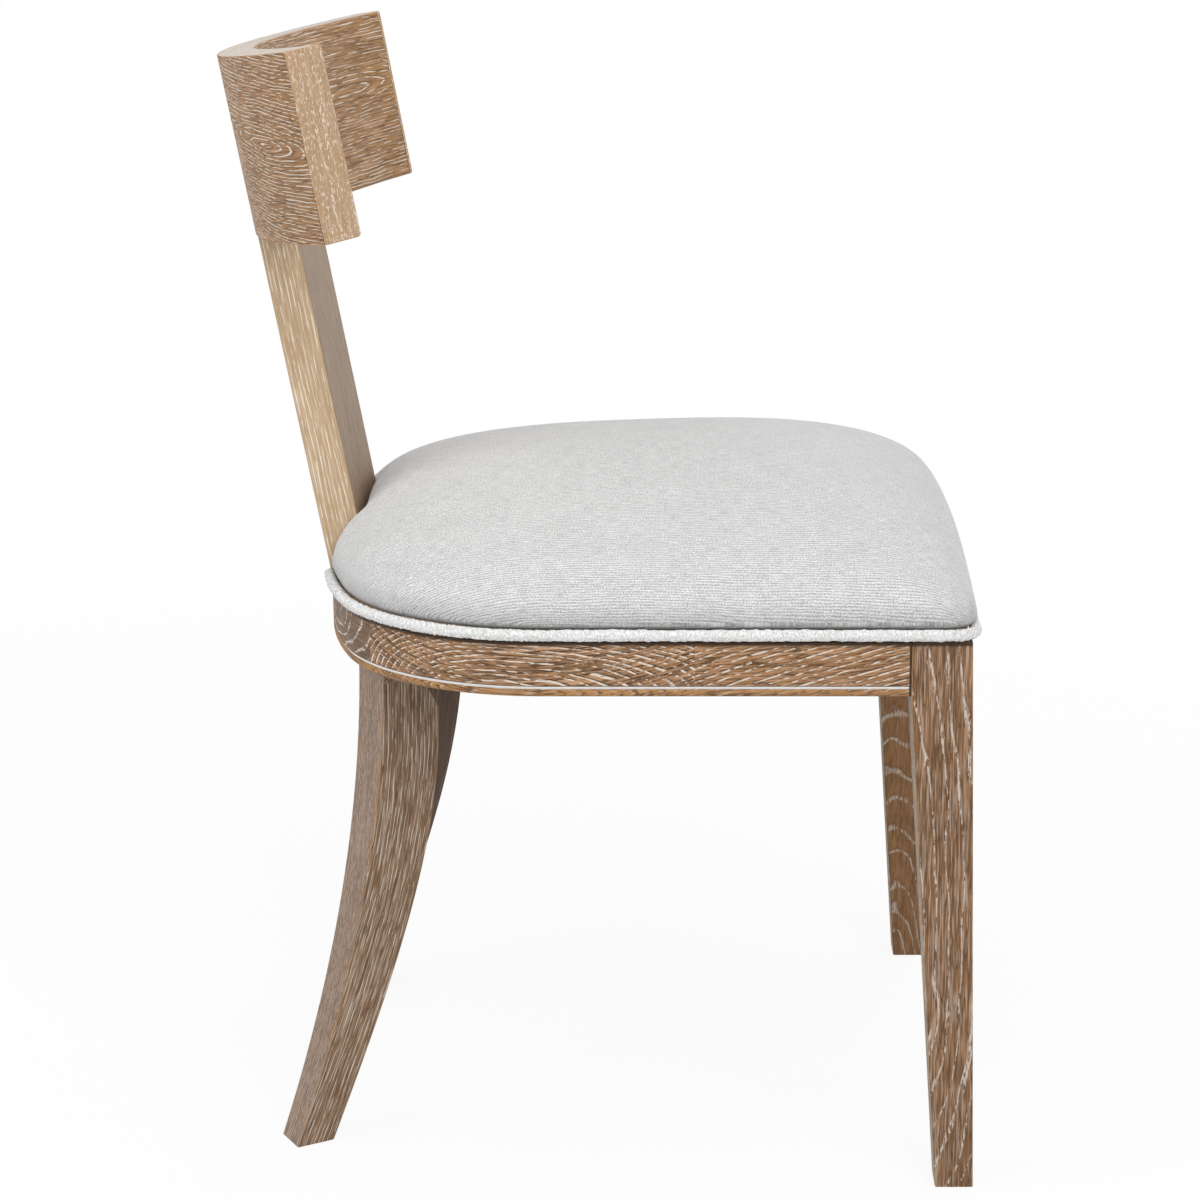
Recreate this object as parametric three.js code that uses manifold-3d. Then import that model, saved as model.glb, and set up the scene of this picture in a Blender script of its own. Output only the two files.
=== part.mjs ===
// Klismos dining chair: a limed oak frame with a curved crest rail, sabre rear
// legs and an upholstered seat edged with piping.
// Millimetres, +Z up. The chair faces -Y, the sitter's left is +X, and the
// origin is on the floor under the middle of the chair.
import * as THREE from "three";
import { mergeVertices } from "three/addons/utils/BufferGeometryUtils.js";
import Module from "manifold-3d";

const wasm = await Module();
wasm.setup();

// Glue lines and other touching faces, and how far a cutter runs past its cut
const glueLine = 0.3;
const overrun = 2;

// Seat frame. Y runs back from the front face of the front legs.
const frameHalfWidth = 253.8;
const frameDepth = 482.6;
const railTop = 422;
const railHeight = 42;
const railThickness = 26;
const cornerRadius = 159;
const rearRadius = 457;
const beadRadius = 3.4;
const grooveWidth = 1.8;
const grooveDepth = 1.5;
const rearJointTurn = THREE.MathUtils.degToRad(36);
const sideRailLength = 155;
const tongueLength = 30;
const tongueThickness = 6;
const tongueHeight = 24;

// Front legs, square at the rail and tapered on the two hidden faces
const legTopSize = 43.3;
const legFootSize = 28.3;
const legReveal = 1.2;
const frontLegLean = 9.4;
const footChamfer = 2.5;
const railTenonLength = 20;
const railTenonThickness = 10;
const railTenonShoulder = 6;

// Rear legs, swept out and back along their own turned line
const rearLegFromSide = 121.3;
const rearLegSetIn = 40;
const rearLegTurn = THREE.MathUtils.degToRad(30.4);
const rearLegSweep = 79;
const rearLegFootDepth = 30.4;
const rearLegTopDepth = 43;
const rearLegKnee = 10;
const rearLegFootWidth = 30;
const rearLegTopWidth = 46;
const sweepPower = 1.9;
const kneePower = 1.6;

// Back: the splat and the crest rail share one lean
const backLean = THREE.MathUtils.degToRad(10.4);
const splatHalfWidth = 69;
const splatThickness = 29.1;
const splatLength = 275;
const splatTenonWidth = 110;
const splatTenonThickness = 10;
const splatTenonInset = 17.6;
const splatFootTenonLength = 30;
const splatHeadTenonLength = 35;
const crestHeight = 136;
const crestThickness = 29.2;
const crestRadius = 322;
const crestHalfSpan = 204;
const crestArris = 1.2;
const lippingThickness = 3;

// Seat pad. The cover stands proud of the frame, a little more at the front,
// and rises steeply before it rounds over into the crown.
const boardThickness = 12;
const padFrontOverhang = 1.4;
const padCornerRadius = 16;
const weltRadius = 4;
const weltOffset = 2;
const coverThickness = 1.5;
const coverProud = 5;
const coverFlare = 2;
const coverFrontReach = 2.7;
const coverFrontBow = 4.9;
const crownCornerSpread = 112;
const cushionSideRise = 38;
const cushionCrownRise = 56;
const crownLeadY = 108;
const crownHalfLength = 606;
const sidePower = 8.5;
const sideRoundness = 2;
const crownPower = 3;
const crownRoundness = 1.7;
const crownCentreShare = 0.525;
const crownTopShare = 0.06;

// Blocks and screws under the seat
const blockArm = 75;
const blockHeight = 30;
const blockDrop = 6;
const cleatLength = 60;
const cleatWidth = 24;
const screwRadius = 2.2;
const screwHeadRadius = 4.2;
const screwHeadHeight = 2.6;
const screwRim = 0.4;
const screwTipLength = 4;
const screwBite = 8;
const blockScrewBite = 18;
const rearLegScrewLength = 54;
const rearLegScrewSpacing = 20;
const seatScrewAcross = 15;
const seatScrewAlong = 43;

// Steps round the curves
const rearSteps = 6;
const cornerSteps = 9;
const legSteps = 14;
const crestSteps = 36;
const beadSteps = 5;
const padCornerSteps = 3;
const padSideSteps = 3;
const padFrontSteps = 5;
const coverRings = 10;
const paddingRings = 7;
const roundSides = 8;

// Finishes
const limedOak = { color: 0xa98b6b, roughness: 0.62, metalness: 0 };
const plywood = { color: 0xc9a97b, roughness: 0.75, metalness: 0 };
const linen = { color: 0xdcdbd8, roughness: 0.95, metalness: 0 };
const piping = { color: 0xe9e8e4, roughness: 0.95, metalness: 0 };
const foam = { color: 0xe8dcae, roughness: 1, metalness: 0 };
const zincSteel = { color: 0xb9bcc0, roughness: 0.4, metalness: 0.9 };

// Places that follow from the sizes
const railBottom = railTop - railHeight;
const railMid = railThickness / 2;
const legOuter = frameHalfWidth + legReveal;
const legInner = legOuter - legTopSize;
const railInner = frameHalfWidth - railThickness;
const frontRailInner = legReveal + railThickness;
const sideJointY = legTopSize + sideRailLength;
const rearCentreY = frameDepth - rearRadius;
const cornerCentreX = frameHalfWidth - cornerRadius;
const blendTurn = Math.asin(cornerCentreX / (rearRadius - cornerRadius));
const cornerCentreY = rearCentreY + (rearRadius - cornerRadius) * Math.cos(blendTurn);
const splatRearY = rearCentreY + Math.sqrt(rearRadius ** 2 - splatHalfWidth ** 2);
const splatFrontY = splatRearY - splatThickness / Math.cos(backLean);
const crestCentreY = -Math.sqrt(crestRadius ** 2 - splatHalfWidth ** 2);
const crestEndSet = lippingThickness + glueLine;
const crestTurn =
  Math.asin(crestHalfSpan / Math.hypot(crestRadius, crestEndSet)) - Math.atan2(crestEndSet, crestRadius);
const boardBottom = railTop + glueLine;
const boardTop = boardBottom + boardThickness;
const weltZ = railTop + glueLine + weltRadius;
const hemTop = weltZ + weltRadius + glueLine;
const hemInset = weltRadius - weltOffset + glueLine;
const blockTop = railTop - blockDrop;
const blockBottom = blockTop - blockHeight;
const blockX = railInner - glueLine;
const blockY = frontRailInner + glueLine;
const cleatX = blockX - cleatWidth / 2;
const cleatY = (sideJointY + cornerCentreY) / 2;

// The butt joints between the rail pieces, on the outer line of the frame
const rearJoint = { x: cornerCentreX, y: cornerCentreY, radius: cornerRadius, turn: rearJointTurn };
const sideJoint = { x: cornerCentreX, y: sideJointY, radius: cornerRadius, turn: Math.PI / 2 };

const chair = new THREE.Group();

// Solids are closed meshes whose faces point out
function outward(geometry) {
  const welded = geometry.clone();
  welded.deleteAttribute("normal");
  welded.deleteAttribute("uv");
  const merged = mergeVertices(welded);
  const position = merged.attributes.position;
  const index = merged.index.array;
  const a = new THREE.Vector3();
  const b = new THREE.Vector3();
  const c = new THREE.Vector3();
  let volume = 0;
  for (let i = 0; i < index.length; i += 3) {
    a.fromBufferAttribute(position, index[i]);
    b.fromBufferAttribute(position, index[i + 1]);
    c.fromBufferAttribute(position, index[i + 2]);
    volume += a.dot(b.cross(c));
  }
  if (volume < 0) {
    for (let i = 0; i < index.length; i += 3) {
      [index[i], index[i + 1]] = [index[i + 1], index[i]];
    }
  }
  return merged;
}

function toSolid(geometry) {
  const closed = outward(geometry);
  return new wasm.Manifold(new wasm.Mesh({
    numProp: 3,
    vertProperties: new Float32Array(closed.attributes.position.array),
    triVerts: new Uint32Array(closed.index.array),
  }));
}

function fromSolid(solid) {
  const mesh = solid.getMesh();
  const geometry = new THREE.BufferGeometry();
  geometry.setAttribute("position", new THREE.BufferAttribute(mesh.vertProperties, 3));
  geometry.setIndex(new THREE.BufferAttribute(mesh.triVerts, 1));
  return geometry;
}

function carve(geometry, ...cutters) {
  return fromSolid(cutters.reduce((solid, cutter) => solid.subtract(toSolid(cutter)), toSolid(geometry)));
}

function join(geometry, ...others) {
  return fromSolid(others.reduce((solid, other) => solid.add(toSolid(other)), toSolid(geometry)));
}

function mirrored(geometry) {
  return outward(geometry.clone().applyMatrix4(new THREE.Matrix4().makeScale(-1, 1, 1)));
}

function addMesh(parent, name, geometry, finish) {
  const closed = outward(geometry);
  closed.computeVertexNormals();
  const mesh = new THREE.Mesh(closed, new THREE.MeshStandardMaterial(finish));
  mesh.name = name;
  parent.add(mesh);
  return mesh;
}

// A left piece and its mirror image, each at its own place and turn
function addPair(parent, name, geometry, finish, place = new THREE.Vector3(), turn = 0) {
  const left = addMesh(parent, `${name}_left`, geometry, finish);
  left.position.copy(place);
  left.rotation.z = turn;
  const right = addMesh(parent, `${name}_right`, mirrored(geometry), finish);
  right.position.set(-place.x, place.y, place.z);
  right.rotation.z = -turn;
}

// A box between two corners
function box(low, high) {
  const size = new THREE.Vector3(...high).sub(new THREE.Vector3(...low));
  const middle = new THREE.Vector3(...high).add(new THREE.Vector3(...low)).multiplyScalar(0.5);
  return new THREE.BoxGeometry(size.x, size.y, size.z).translate(middle.x, middle.y, middle.z);
}

// A closed solid through like rings of points, with flat ends cut from the outline
function skin(rings, outline = rings[0].map((point) => new THREE.Vector2(point.x, point.y))) {
  if (THREE.ShapeUtils.isClockWise(outline)) {
    return skin(rings.map((ring) => ring.toReversed()), outline.toReversed());
  }
  const count = outline.length;
  const index = [];
  for (let ring = 0; ring < rings.length - 1; ring++) {
    for (let i = 0; i < count; i++) {
      const a = ring * count + i;
      const b = ring * count + ((i + 1) % count);
      index.push(a, b, b + count, a, b + count, a + count);
    }
  }
  const last = (rings.length - 1) * count;
  for (const [a, b, c] of THREE.ShapeUtils.triangulateShape(outline, [])) {
    index.push(a, c, b, last + a, last + b, last + c);
  }
  const geometry = new THREE.BufferGeometry();
  geometry.setFromPoints(rings.flat());
  geometry.setIndex(index);
  return geometry;
}

// A station on the plan holds a centre, a radius and the turn of its outward
// normal from straight back, so an inset moves it along that normal
function planPoint(station, inset) {
  const reach = station.radius - inset;
  return new THREE.Vector2(
    station.x + reach * Math.sin(station.turn),
    station.y + reach * Math.cos(station.turn),
  );
}

function arcStations(x, y, radius, from, to, steps) {
  return Array.from({ length: steps + 1 }, (_, i) => {
    const turn = from + ((to - from) * i) / steps;
    return { x, y, radius, turn };
  });
}

function straightStations(from, to, steps) {
  return Array.from({ length: steps + 1 }, (_, i) => ({
    ...from,
    x: from.x + ((to.x - from.x) * i) / steps,
    y: from.y + ((to.y - from.y) * i) / steps,
  }));
}

function mirrorStations(stations) {
  return stations.map((station) => ({ ...station, x: -station.x, turn: -station.turn })).reverse();
}

// The rear curve of the frame between two turns on the left half
function rearCurve(from, to) {
  const rear = arcStations(0, rearCentreY, rearRadius, from, Math.min(to, blendTurn), rearSteps);
  if (to <= blendTurn) {
    return rear;
  }
  const cornerFrom = Math.max(from, blendTurn);
  const corner = arcStations(cornerCentreX, cornerCentreY, cornerRadius, cornerFrom, to, cornerSteps);
  return from < blendTurn ? [...rear, ...corner.slice(1)] : corner;
}

// A solid whose section, given as inset and height, follows the stations
function sweep(stations, section) {
  const rings = stations.map((station) => section.map(([inset, z]) => {
    const point = planPoint(station, inset);
    return new THREE.Vector3(point.x, point.y, z);
  }));
  return skin(rings, section.map(([inset, z]) => new THREE.Vector2(inset, z)));
}

// Rail section: flat face, a fine groove, and a half-round bead along the bottom
function railSection() {
  const beadStart = Math.PI / 3;
  const bead = Array.from({ length: beadSteps + 1 }, (_, i) => {
    const angle = beadStart - ((beadStart + Math.PI / 2) * i) / beadSteps;
    return [beadRadius * (1 - Math.cos(angle)), railBottom + beadRadius * (1 + Math.sin(angle))];
  });
  const beadTop = bead[0][1];
  return [
    [railThickness, railBottom],
    [railThickness, railTop],
    [0, railTop],
    [0, beadTop + grooveWidth],
    [grooveDepth, beadTop + grooveWidth / 2],
    ...bead,
  ];
}

// Countersunk wood screw along +Y with the top of its head at zero. Grown by a
// clearance, it is the hole for the screw, open past the head.
function screw(length, grow) {
  const top = grow > 0 ? -overrun : 0;
  const profile = [
    [0, top],
    [screwHeadRadius + grow, top],
    [screwHeadRadius + grow, screwRim],
    [screwRadius + grow, screwHeadHeight],
    [screwRadius + grow, length - screwTipLength + grow],
    [0, length + grow],
  ];
  return new THREE.LatheGeometry(profile.map(([radius, y]) => new THREE.Vector2(radius, y)), roundSides);
}

function along(direction, start) {
  const turn = new THREE.Quaternion().setFromUnitVectors(new THREE.Vector3(0, 1, 0), direction);
  return new THREE.Matrix4().compose(start, turn, new THREE.Vector3(1, 1, 1));
}

// Straight tenon of a front or side rail, out of its shoulder at a place and
// turned from +X. Grown by a clearance, it is the mortise.
function railTenon(x, y, turn, grow) {
  const half = railTenonThickness / 2 + grow;
  return box(
    [-railTenonLength, -half, railBottom + railTenonShoulder - grow],
    [railTenonLength + grow, half, railTop - railTenonShoulder + grow],
  ).rotateZ(turn).translate(x, y, 0);
}

// Loose tongue across a butt joint of two rail pieces
function tongue(station, grow) {
  const point = planPoint(station, railMid);
  const low = railBottom + (railHeight - tongueHeight) / 2;
  return box(
    [-tongueLength / 2 - grow, -tongueThickness / 2 - grow, low - grow],
    [tongueLength / 2 + grow, tongueThickness / 2 + grow, low + tongueHeight + grow],
  ).rotateZ(-station.turn).translate(point.x, point.y, 0);
}

// The leaning frame of the back: its origin is the splat's front at the rail's top
function backMatrix() {
  const turn = new THREE.Quaternion().setFromAxisAngle(new THREE.Vector3(1, 0, 0), -backLean);
  const place = new THREE.Vector3(0, splatFrontY, railTop);
  return new THREE.Matrix4().compose(place, turn, new THREE.Vector3(1, 1, 1));
}

// The notch that the seat pad leaves for the splat, open to the rear
function splatNotch(clearance) {
  return box(
    [-splatHalfWidth - clearance, -clearance, -splatFootTenonLength],
    [splatHalfWidth + clearance, cornerRadius, splatLength],
  ).applyMatrix4(backMatrix());
}

// Front legs with mortises for the two rails and a hole for the block's screw
function makeFrontLegs() {
  const section = (z, size, inset) => {
    const frontY = -frontLegLean * (1 - z / railTop);
    const rearY = z >= railBottom ? legTopSize : frontY + size;
    return [
      new THREE.Vector3(legOuter - size + inset, frontY + inset, z),
      new THREE.Vector3(legOuter - inset, frontY + inset, z),
      new THREE.Vector3(legOuter - inset, rearY - inset, z),
      new THREE.Vector3(legOuter - size + inset, rearY - inset, z),
    ];
  };
  const chamferSize = legFootSize + ((legTopSize - legFootSize) * footChamfer) / railBottom;
  const blank = skin([
    section(0, legFootSize, footChamfer),
    section(footChamfer, chamferSize, 0),
    section(railBottom, legTopSize, 0),
    section(railTop, legTopSize, 0),
  ]);
  const leg = carve(
    blank,
    railTenon(legInner, legReveal + railMid, 0, glueLine),
    railTenon(frameHalfWidth - railMid, legTopSize, -Math.PI / 2, glueLine),
    blockScrew(glueLine),
  );
  addPair(chair, "front_leg", leg, limedOak);
}

// Screw through the corner block, square to its long face, into the leg's corner
function blockScrew(grow) {
  const faceLevel = blockY + blockArm - blockX;
  const legLevel = legTopSize - legInner;
  const through = (faceLevel - legLevel) / Math.SQRT2;
  const direction = new THREE.Vector3(1, -1, 0).normalize();
  const start = new THREE.Vector3(legInner, legTopSize, blockBottom + blockHeight / 2)
    .addScaledVector(direction, -through);
  return screw(through + blockScrewBite, grow).applyMatrix4(along(direction, start));
}

function rearLegMatrix() {
  const turn = new THREE.Quaternion().setFromAxisAngle(new THREE.Vector3(0, 0, 1), -rearLegTurn);
  const place = new THREE.Vector3(frameHalfWidth - rearLegFromSide, frameDepth - rearLegSetIn, 0);
  return new THREE.Matrix4().compose(place, turn, new THREE.Vector3(1, 1, 1));
}

// Two screws through the head of the left rear leg into the rear rail
function rearLegScrews(grow) {
  return [-1, 1].map((side) => screw(rearLegScrewLength, grow)
    .translate((side * rearLegScrewSpacing) / 2, -rearLegTopDepth, railBottom + railHeight / 2)
    .applyMatrix4(rearLegMatrix()));
}

// Rear legs: the head is rebated over the inside of the rail, the foot sweeps out
function makeRearLegs() {
  const section = (share, z, inset) => {
    const rearY = rearLegSweep * (1 - share) ** sweepPower;
    const depth = rearLegFootDepth + (rearLegTopDepth - rearLegFootDepth) * share
      + rearLegKnee * Math.sin(Math.PI * share ** kneePower);
    const half = (rearLegFootWidth + (rearLegTopWidth - rearLegFootWidth) * share) / 2 - inset;
    return [
      new THREE.Vector3(-half, rearY - depth + inset, z),
      new THREE.Vector3(half, rearY - depth + inset, z),
      new THREE.Vector3(half, rearY - inset, z),
      new THREE.Vector3(-half, rearY - inset, z),
    ];
  };
  const rings = [section(0, 0, footChamfer / 2), section(footChamfer / railBottom, footChamfer, 0)];
  for (let i = 1; i <= legSteps; i++) {
    rings.push(section(i / legSteps, (railBottom * i) / legSteps, 0));
  }
  rings.push(section(1, railTop, 0));
  const toLeg = rearLegMatrix().invert();
  const rebate = sweep(rearCurve(0, Math.PI / 2), [
    [railThickness + glueLine, railBottom - glueLine],
    [railThickness + glueLine, railTop + overrun],
    [-overrun, railTop + overrun],
    [-overrun, railBottom - glueLine],
  ]).applyMatrix4(toLeg);
  const holes = rearLegScrews(glueLine).map((hole) => hole.applyMatrix4(toLeg));
  const place = new THREE.Vector3().setFromMatrixPosition(rearLegMatrix());
  addPair(chair, "rear_leg", carve(skin(rings), rebate, ...holes), limedOak, place, -rearLegTurn);
}

// Straight front and side rails, tenoned into the front legs
function makeStraightRails() {
  const section = railSection();
  const frontEnd = legInner - glueLine;
  const front = (x) => ({ x, y: legReveal, radius: 0, turn: Math.PI });
  const frontTenon = railTenon(frontEnd, legReveal + railMid, 0, 0);
  const frontBlank = sweep([front(-frontEnd), front(frontEnd)], section);
  addMesh(chair, "front_rail", join(frontBlank, frontTenon, mirrored(frontTenon)), limedOak);

  const sideStart = legTopSize + glueLine;
  const sideRail = join(
    sweep([{ ...sideJoint, y: sideStart }, { ...sideJoint, y: sideJointY - glueLine / 2 }], section),
    railTenon(frameHalfWidth - railMid, sideStart, -Math.PI / 2, 0),
  );
  addPair(chair, "side_rail", carve(sideRail, tongue(sideJoint, glueLine)), limedOak);
}

// Curved corner pieces and a curved rear piece, butt jointed over loose tongues
function makeCurvedRails() {
  const section = railSection();
  const cornerStart = rearJointTurn + glueLine / cornerRadius;
  const corner = sweep(
    [...rearCurve(cornerStart, Math.PI / 2), { ...sideJoint, y: sideJointY + glueLine / 2 }],
    section,
  );
  const cornerRail = carve(corner, tongue(sideJoint, glueLine), tongue(rearJoint, glueLine));
  addPair(chair, "corner_rail", cornerRail, limedOak);

  const halfRear = rearCurve(0, rearJointTurn);
  const rear = sweep([...mirrorStations(halfRear).slice(0, -1), ...halfRear], section);
  const leftSlot = tongue(rearJoint, glueLine);
  const screwHoles = rearLegScrews(glueLine).flatMap((hole) => [hole, mirrored(hole)]);
  const rearRail = carve(rear, leftSlot, mirrored(leftSlot), splatMortise(), ...screwHoles);
  addMesh(chair, "rear_rail", rearRail, limedOak);

  addPair(chair, "side_joint_tongue", tongue(sideJoint, 0), limedOak);
  addPair(chair, "rear_joint_tongue", tongue(rearJoint, 0), limedOak);
}

// The splat's tenons, in the leaning frame of the back
function splatTenon(low, high, grow) {
  return box(
    [-splatTenonWidth / 2 - grow, splatTenonInset - grow, low],
    [splatTenonWidth / 2 + grow, splatTenonInset + splatTenonThickness + grow, high],
  );
}

function splatMortise() {
  const tenon = splatTenon(-splatFootTenonLength - glueLine, splatFootTenonLength, glueLine);
  return tenon.applyMatrix4(backMatrix());
}

// One flat splat with its foot cut level on the rail and a tenon at each end
function makeSplat(back) {
  const footAt = (y) => (glueLine + y * Math.sin(backLean)) / Math.cos(backLean);
  const shape = new THREE.Shape([
    new THREE.Vector2(0, footAt(0)),
    new THREE.Vector2(splatThickness, footAt(splatThickness)),
    new THREE.Vector2(splatThickness, splatLength - glueLine),
    new THREE.Vector2(0, splatLength - glueLine),
  ]);
  const board = new THREE.ExtrudeGeometry(shape, { depth: 2 * splatHalfWidth, bevelEnabled: false });
  board.translate(0, 0, -splatHalfWidth);
  board.applyMatrix4(new THREE.Matrix4().makeBasis(
    new THREE.Vector3(0, 1, 0),
    new THREE.Vector3(0, 0, 1),
    new THREE.Vector3(1, 0, 0),
  ));
  const tenons = splatTenon(-splatFootTenonLength, splatLength + splatHeadTenonLength, 0);
  addMesh(back, "back_splat", join(board, tenons), limedOak);
}

// Crest rail curved round the sitter, with a long-grain lipping on each end
function makeCrest(back) {
  const plan = new THREE.Shape();
  const from = Math.PI / 2 - crestTurn;
  const to = Math.PI / 2 + crestTurn;
  plan.absarc(0, crestCentreY, crestRadius + crestThickness, from, to, false);
  plan.absarc(0, crestCentreY, crestRadius, to, from, true);
  const crest = new THREE.ExtrudeGeometry(plan, {
    depth: crestHeight - 2 * crestArris,
    curveSegments: crestSteps,
    bevelThickness: crestArris,
    bevelSize: crestArris,
    bevelOffset: -crestArris,
    bevelSegments: 1,
  });
  crest.translate(0, 0, splatLength + crestArris);
  const mortiseTop = splatLength + splatHeadTenonLength + glueLine;
  const mortise = splatTenon(splatLength - overrun, mortiseTop, glueLine);
  addMesh(back, "crest_rail", carve(crest, mortise), limedOak);

  const middle = crestRadius + crestThickness / 2;
  const set = glueLine + lippingThickness / 2;
  const lipping = new THREE.BoxGeometry(lippingThickness, crestThickness, crestHeight);
  const place = new THREE.Vector3(
    middle * Math.sin(crestTurn) + set * Math.cos(crestTurn),
    crestCentreY + middle * Math.cos(crestTurn) - set * Math.sin(crestTurn),
    splatLength + crestHeight / 2,
  );
  addPair(back, "crest_lipping", lipping, limedOak, place, -crestTurn);
}

function makeBack() {
  const back = new THREE.Group();
  back.applyMatrix4(backMatrix());
  chair.add(back);
  makeSplat(back);
  makeCrest(back);
}

// Screws up through a corner block and a cleat on the left into the seat board
function seatScrews(grow) {
  const places = [
    new THREE.Vector3(railInner - seatScrewAcross, frontRailInner + seatScrewAlong, blockBottom),
    new THREE.Vector3(cleatX, cleatY, blockBottom),
  ];
  const length = boardBottom - blockBottom + screwBite;
  return places.map((place) => screw(length, grow).applyMatrix4(along(new THREE.Vector3(0, 0, 1), place)));
}

// Blocks in the front corners and cleats on the curved sides
function makeBlocks() {
  const outline = new THREE.Shape([
    new THREE.Vector2(blockX, blockY + blockArm),
    new THREE.Vector2(blockX - blockArm, blockY),
    new THREE.Vector2(legInner - glueLine, blockY),
    new THREE.Vector2(legInner - glueLine, legTopSize + glueLine),
    new THREE.Vector2(blockX, legTopSize + glueLine),
  ]);
  const block = new THREE.ExtrudeGeometry(outline, { depth: blockHeight, bevelEnabled: false });
  block.translate(0, 0, blockBottom);
  const cleat = box(
    [blockX - cleatWidth, cleatY - cleatLength / 2, blockBottom],
    [blockX, cleatY + cleatLength / 2, blockTop],
  );
  const [blockHole, cleatHole] = seatScrews(glueLine);
  addPair(chair, "corner_block", carve(block, blockScrew(glueLine), blockHole), limedOak);
  addPair(chair, "seat_cleat", carve(cleat, cleatHole), limedOak);
}

function makeScrews() {
  const [frontSeatScrew, rearSeatScrew] = seatScrews(0);
  const [innerScrew, outerScrew] = rearLegScrews(0);
  addPair(chair, "corner_block_screw", blockScrew(0), zincSteel);
  addPair(chair, "front_seat_screw", frontSeatScrew, zincSteel);
  addPair(chair, "rear_seat_screw", rearSeatScrew, zincSteel);
  addPair(chair, "rear_leg_inner_screw", innerScrew, zincSteel);
  addPair(chair, "rear_leg_outer_screw", outerScrew, zincSteel);
}

// The pad's plan from the rear, at a start turn, round the left side to the
// middle of the front, which may reach out and bow
function padHalf(startTurn, frontRadius = padCornerRadius, frontReach = 0, frontBow = 0) {
  const rear = rearCurve(startTurn, Math.PI / 2);
  const cornerX = frameHalfWidth - frontRadius;
  const cornerY = frontRadius - padFrontOverhang - frontReach;
  const front = arcStations(cornerX, cornerY, frontRadius, Math.PI / 2, Math.PI, padCornerSteps);
  const sideStart = { x: cornerX, y: cornerCentreY, radius: frontRadius, turn: Math.PI / 2 };
  const side = straightStations(sideStart, front[0], padSideSteps);
  const across = straightStations(front.at(-1), { x: 0, y: cornerY }, padFrontSteps)
    .map((station) => ({ ...station, y: station.y - frontBow * (1 - (station.x / cornerX) ** 2) }));
  return [...rear.slice(0, -1), ...side.slice(0, -1), ...front, ...across.slice(1)];
}

// One closed ring of the pad from its left half
function padRing(left, inset, heightAt) {
  const stations = [...left, ...mirrorStations(left).slice(1, -1)];
  return stations.map((station) => {
    const point = planPoint(station, inset);
    return new THREE.Vector3(point.x, point.y, heightAt(point));
  });
}

// Height of the cushion over its base: a steep side, then a crown that falls to
// the sides and the ends
function cushionRise(point, share) {
  const across = point.x / (frameHalfWidth + coverProud);
  const length = (point.y - crownLeadY) / crownHalfLength;
  const side = cushionSideRise * (1 - share ** sidePower) ** (1 / sideRoundness);
  const crown = cushionCrownRise * (1 - share ** crownPower) ** (1 / crownRoundness);
  return side + crown * (1 - across ** 2) * (1 - length ** 2);
}

// The cushion's domed rings, drawn in round the crown's centre. The front
// corners round out as they rise.
function crownRings(shrink, count) {
  const middle = new THREE.Vector2(0, frameDepth * crownCentreShare);
  const baseZ = hemTop + coverFlare - shrink;
  return Array.from({ length: count }, (_, i) => {
    const share = 1 - (1 - crownTopShare) * ((i + 1) / count) ** 2;
    const frontRadius = padCornerRadius + crownCornerSpread * Math.sqrt(1 - share);
    const outline = padHalf(0, frontRadius, coverFrontReach, coverFrontBow);
    return padRing(outline, shrink - coverProud, () => 0).map((place) => {
      const point = new THREE.Vector2(place.x, place.y).lerp(middle, 1 - share);
      return new THREE.Vector3(point.x, point.y, baseZ + cushionRise(point, share));
    });
  });
}

// The cushion's base ring, where the flare over the piping ends
function baseRing(shrink, z) {
  const outline = padHalf(0, padCornerRadius, coverFrontReach, coverFrontBow);
  return padRing(outline, shrink - coverProud, () => z);
}

// The cover's form: a hem inside the piping, a flare over it, and the crown
function coverForm(shrink, floorZ, count) {
  return skin([
    padRing(padHalf(0), hemInset + shrink, () => floorZ),
    padRing(padHalf(0), hemInset + shrink, () => hemTop + shrink),
    baseRing(shrink, hemTop + coverFlare + shrink),
    ...crownRings(shrink, count),
  ]);
}

// Seat pad: plywood board, foam and sewn cover, notched round the splat
function makePad() {
  const boardEdge = hemInset + coverThickness + glueLine;
  const boardOutline = new THREE.Shape(padRing(padHalf(0), boardEdge, () => 0));
  const board = new THREE.ExtrudeGeometry(boardOutline, { depth: boardThickness, bevelEnabled: false });
  board.translate(0, 0, boardBottom);
  const notch = splatNotch(coverThickness + 2 * glueLine);
  const screwHoles = seatScrews(glueLine).flatMap((hole) => [hole, mirrored(hole)]);
  addMesh(chair, "seat_board", carve(board, notch, ...screwHoles), plywood);

  const foamInset = coverThickness + 2 * glueLine;
  const foamBase = baseRing(foamInset, boardTop + glueLine);
  const foamBlock = skin([foamBase, ...crownRings(foamInset, paddingRings)]);
  addMesh(chair, "seat_foam", carve(foamBlock, notch), foam);

  const outside = carve(coverForm(0, boardBottom, coverRings), splatNotch(glueLine));
  const inside = coverForm(coverThickness, boardBottom - overrun, paddingRings);
  const hollow = carve(inside, splatNotch(coverThickness + glueLine));
  addMesh(chair, "seat_cover", carve(outside, hollow), linen);
}

// Piping round the pad's foot from one side of the splat to the other
function makePiping() {
  const section = Array.from({ length: roundSides }, (_, i) => {
    const angle = (2 * Math.PI * i) / roundSides;
    return [-weltOffset - weltRadius * Math.cos(angle), weltZ + weltRadius * Math.sin(angle)];
  });
  const startTurn = Math.asin((splatHalfWidth + glueLine) / (rearRadius + weltOffset - weltRadius));
  const left = padHalf(startTurn);
  addMesh(chair, "seat_piping", sweep([...left, ...mirrorStations(left).slice(1)], section), piping);
}

makeFrontLegs();
makeRearLegs();
makeStraightRails();
makeCurvedRails();
makeBack();
makeBlocks();
makeScrews();
makePad();
makePiping();

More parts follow.
